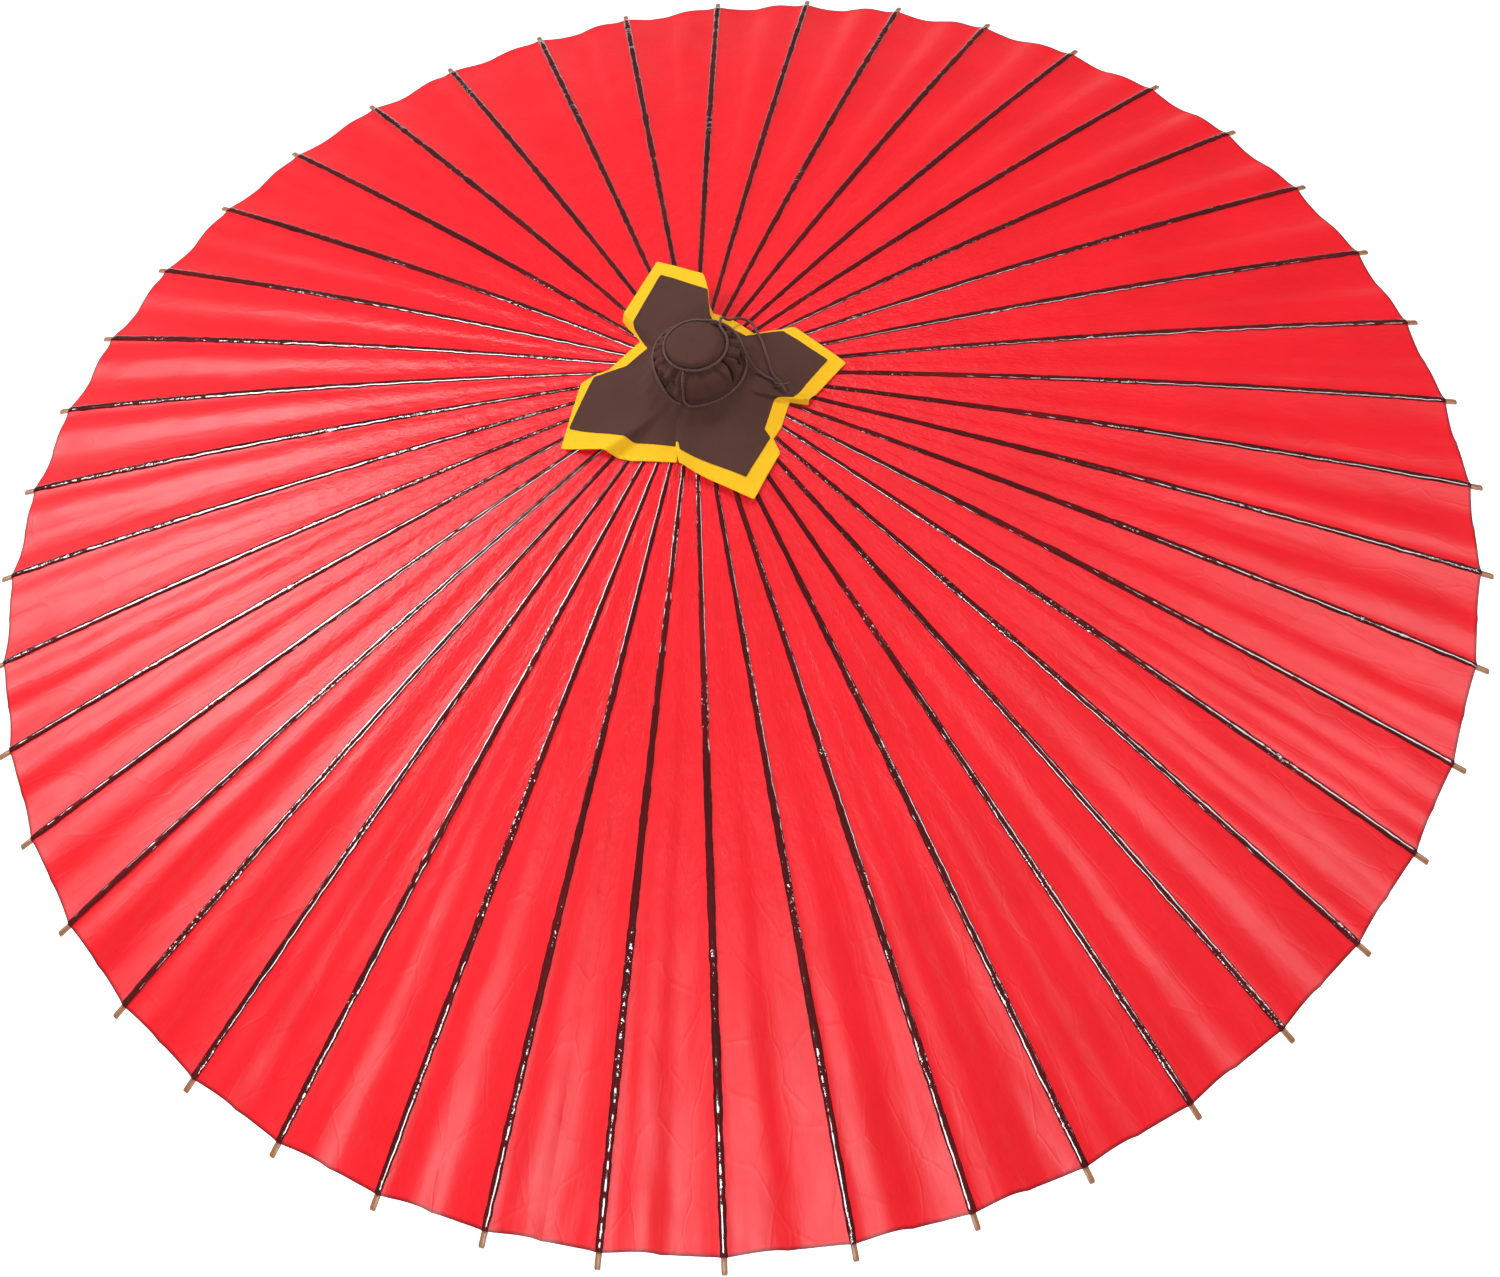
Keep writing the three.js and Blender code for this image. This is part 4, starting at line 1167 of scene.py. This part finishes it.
# a second roll on the right, turned down at its end
roll2 = smooth(D2, -36, -30) * (1 - smooth(D2, 4, 14))
rc = rc + 2.6 * roll2 * np.exp(-(((S2 - 0.56) / 0.05) ** 2))
rc = rc - 3.4 * roll2 * np.exp(-(((S2 - 0.68) / 0.055) ** 2))
# an ear of slack cloth high on the left, and the bite of the lower cord
rc = rc + 2.6 * np.exp(-(((D2 - 166 + 180) % 360 - 180) / 13.0) ** 2) * smooth(S2, 0.44, 0.54) * (1 - smooth(S2, 0.60, 0.72))
CORD_Z = [(-180, 341.3), (-166, 339), (-155, 336), (-143, 330), (-130, 323.6), (-118, 321.4), (-100, 321.4), (-60, 322.3), (-30, 321.6), (-12, 322.4), (5, 325), (40, 331), (80, 336), (120, 340), (160, 342), (180, 341.3)]
bite = np.interp((D2 + 180) % 360 - 180, [p[0] for p in CORD_Z], [p[1] for p in CORD_Z])
rc = rc - 2.3 * np.exp(-(((zc - bite) / 3.4) ** 2)) * smooth(S2, 0.5, 0.6) * (zc > 323.5)
zc = zc + (0.45 * noise2(rc * np.cos(np.radians(D2)) / 11, rc * np.sin(np.radians(D2)) / 11, 52)) * (1 - smooth(S2, 0.3, 0.4))
rc = rc + 0.35 * noise2(D2 / 9.0, S2 * 9.0, 53) * smooth(S2, 0.25, 0.33)


def set_of(z_, r_=None):
    """How much of the head's sideways set the cloth takes at this height, or outside the cord at this radius."""
    if r_ is not None:
        return np.interp(r_, [50, 57, 64, 70], [0.75, 0.4, 0.1, 0.0])
    return np.interp(z_, [304.5, 311.5, 322, 338], [0.1, 0.4, 0.75, 1.0])


def crown_skin(inset):
    r_, z_ = rc, zc
    if inset:
        # inwards along the outline's own normal
        gr = np.gradient(r_, axis=0)
        gz = np.gradient(z_, axis=0)
        n = np.maximum(np.hypot(gr, gz), 1e-6)
        r_, z_ = r_ + gz / n * inset, z_ - gr / n * inset
    x = r_ * np.cos(np.radians(D2)) + HEAD_SET[0] * set_of(zc)
    y = r_ * np.sin(np.radians(D2)) + HEAD_SET[1] * set_of(zc)
    return np.stack([x, y, z_ + RIM_Z], -1)


outer, inner = crown_skin(0.0), crown_skin(0.8)
rows, cols = outer.shape[:2]
n = rows * cols
verts = np.vstack([outer.reshape(-1, 3), inner.reshape(-1, 3), [(*HEAD_SET, RIM_Z + 366.0)], [(*HEAD_SET, RIM_Z + 365.2)]])
faces = grid_faces(rows, cols, wrap=True) + grid_faces(rows, cols, n, wrap=True, flip=True)
faces += [(2 * n, j, (j + 1) % cols) for j in range(cols)]
faces += [(2 * n + 1, n + (j + 1) % cols, n + j) for j in range(cols)]
last = (rows - 1) * cols
faces += [(last + j, last + n + j, last + n + (j + 1) % cols, last + (j + 1) % cols) for j in range(cols)]
arc = np.cumsum(np.concatenate([[np.full(cols, 8.0)], np.hypot(np.diff(rc, axis=0), np.diff(zc, axis=0))]), axis=0)
uvc = np.stack([arc * np.cos(np.radians(D2)), arc * np.sin(np.radians(D2))], -1).reshape(-1, 2) * MM
crown_o = make("head_cloth_crown", verts, faces, [M_BROWN], uvs=np.vstack([uvc, uvc, [[0, 0]], [[0, 0]]]))
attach(crown_o, "umbrella_pole")
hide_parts("head_cover")

SKIRT_Z = [(50.2, 322.4), (51.2, 319.6), (53.0, 316.4), (57.0, 311.6), (64.0, 305.4), (70, 302.5)]


def skirt(d, r):
    """Height of the cloth outside the lower cord: off the bulge, then lying on the paper."""
    lying = paper_z(r) - RIM_Z + lift(d, r)
    falling = np.interp(r, [p[0] for p in SKIRT_Z], [p[1] for p in SKIRT_Z])
    k = smooth(r, 56, 74)
    pinch = 0.8 * np.sin(np.radians(d) * 23 + 1.3) * (1 - smooth(r, 52, 70)) * smooth(r, 50.0, 52)
    return np.maximum(falling, lying - 6) * (1 - k) + lying * k + pinch


def flap(name, lo, hi, radius, down, mat, inner_r, rows_, edge_round):
    span = hi - lo
    cols_ = max(10, int(span / 0.8))
    d = np.linspace(lo, hi, cols_ + 1)
    edge = np.array([radius(x) for x in d])
    tt = np.concatenate([np.linspace(0, 0.88, rows_ - 12)[:-1], np.linspace(0.88, 1, 13)])
    R = inner_r + (edge[None, :] - inner_r) * tt[:, None]
    D = np.broadcast_to(d[None, :], R.shape)
    Z = skirt(D, R) - down
    # a turned hem with its row of stitching, and the cut edge rolled down
    left = edge[None, :] - R
    Z = Z + 0.32 * (1 - smooth(left, 4.6, 5.8)) - 0.3 * np.exp(-(((left - 4.4) / 0.8) ** 2))
    Z = Z - edge_round * smooth(tt, 0.985, 1.0)[:, None]
    ca, sa = np.cos(np.radians(D)), np.sin(np.radians(D))
    k_ = set_of(None, R)
    X, Y = R * ca + HEAD_SET[0] * k_, R * sa + HEAD_SET[1] * k_
    top_ = np.stack([X, Y, Z + RIM_Z], -1)
    low_ = np.stack([X, Y, Z + RIM_Z - 0.5], -1)
    v, f, _ = shell(top_, low_)
    uv = np.stack([(R + 22) * ca, (R + 22) * sa], -1).reshape(-1, 2) * MM
    o = make(name, v, f, [mat], uvs=np.vstack([uv, uv]))
    sharpen(o, 50)
    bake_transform(o)
    area_ = 0.0
    for part in (top_,):
        a_ = np.linalg.norm(np.cross(part[1:, :-1] - part[:-1, :-1], part[:-1, 1:] - part[:-1, :-1]), axis=-1)
        area_ = float(a_.sum()) * 1e-6
    return o, area_


for name, lo, hi in SECTORS:
    o, ar = flap("head_flap_" + name, lo, hi, top_r, 0.0, M_BROWN, 50.2, 38, 0.3)
    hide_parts("head_cover")
    o, ar = flap("head_lining_" + name, lo, hi, lining_r, 0.72, M_YELLOW, 56.0, 38, 0.3)
    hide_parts("head_cover_lining")

# -------------------------------------------------------------- pole and fittings
pole_up = lathe(
    "pole_upper",
    [(0, 1060.3), (15.2, 1060.3), (16, 1061.2)]
    + [(16.0 + 0.12 * math.sin(z / 37.0), z) for z in np.linspace(1070, 2180, 60)]
    + [(16, 2186), (15.2, 2188), (0, 2188)],
    M_POLE,
)
pole_low = lathe(
    "pole_lower",
    [(0, 6.3), (15.8, 6.3), (16, 7)]
    + [(16.0 + 0.12 * math.sin(z / 41.0), z) for z in np.linspace(20, 1050, 50)]
    + [(16, 1059), (15.2, 1060), (0, 1060)],
    M_POLE,
)
ferrule = lathe(
    "foot_shoe",
    [(0, 0), (17.0, 0), (18.4, 0.5), (19, 1.8), (19, 60), (18.6, 61), (18.6, 63), (19, 64), (19, 70), (18.6, 71), (18.6, 73), (19, 74), (19, 78.6), (18.4, 80), (16.4, 80), (16.4, 6), (0, 6)],
    M_BRASS,
)
sleeve = lathe(
    "pole_sleeve",
    [(16.4, 980), (18.2, 980), (18.7, 980.8), (18.7, 987), (18.3, 988.4), (18.0, 990)]
    + [(18.0, z) for z in np.linspace(1000, 1050, 5)]
    + [(18.4, 1053), (18.7, 1056), (18.7, 1062), (18.4, 1065), (18.0, 1068)]
    + [(18.0, z) for z in np.linspace(1080, 1125, 5)]
    + [(18.0, 1130), (18.3, 1131.6), (18.7, 1133), (18.7, 1139.2), (18.2, 1140), (16.4, 1140)],
    M_BRASS,
)
for o, body, node_, sl in (
    (pole_up, "umbrella_pole", "upper_pole", "pole_lacquer"),
    (pole_low, "base", "lower_pole", "pole_lacquer"),
    (ferrule, "base", "foot_ferrule", "brass"),
    (sleeve, "base", "joint_sleeve", "brass"),
):
    sharpen(o, 30)
    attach(o, body)
    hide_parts(node_)
for name, mat in (("head_hub", M_HUB), ("runner", M_HUB), ("hub_thread", M_THREAD), ("runner_catch", M_BRASS)):
    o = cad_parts[name]
    for k in range(len(o.material_slots)):
        o.material_slots[k].material = mat
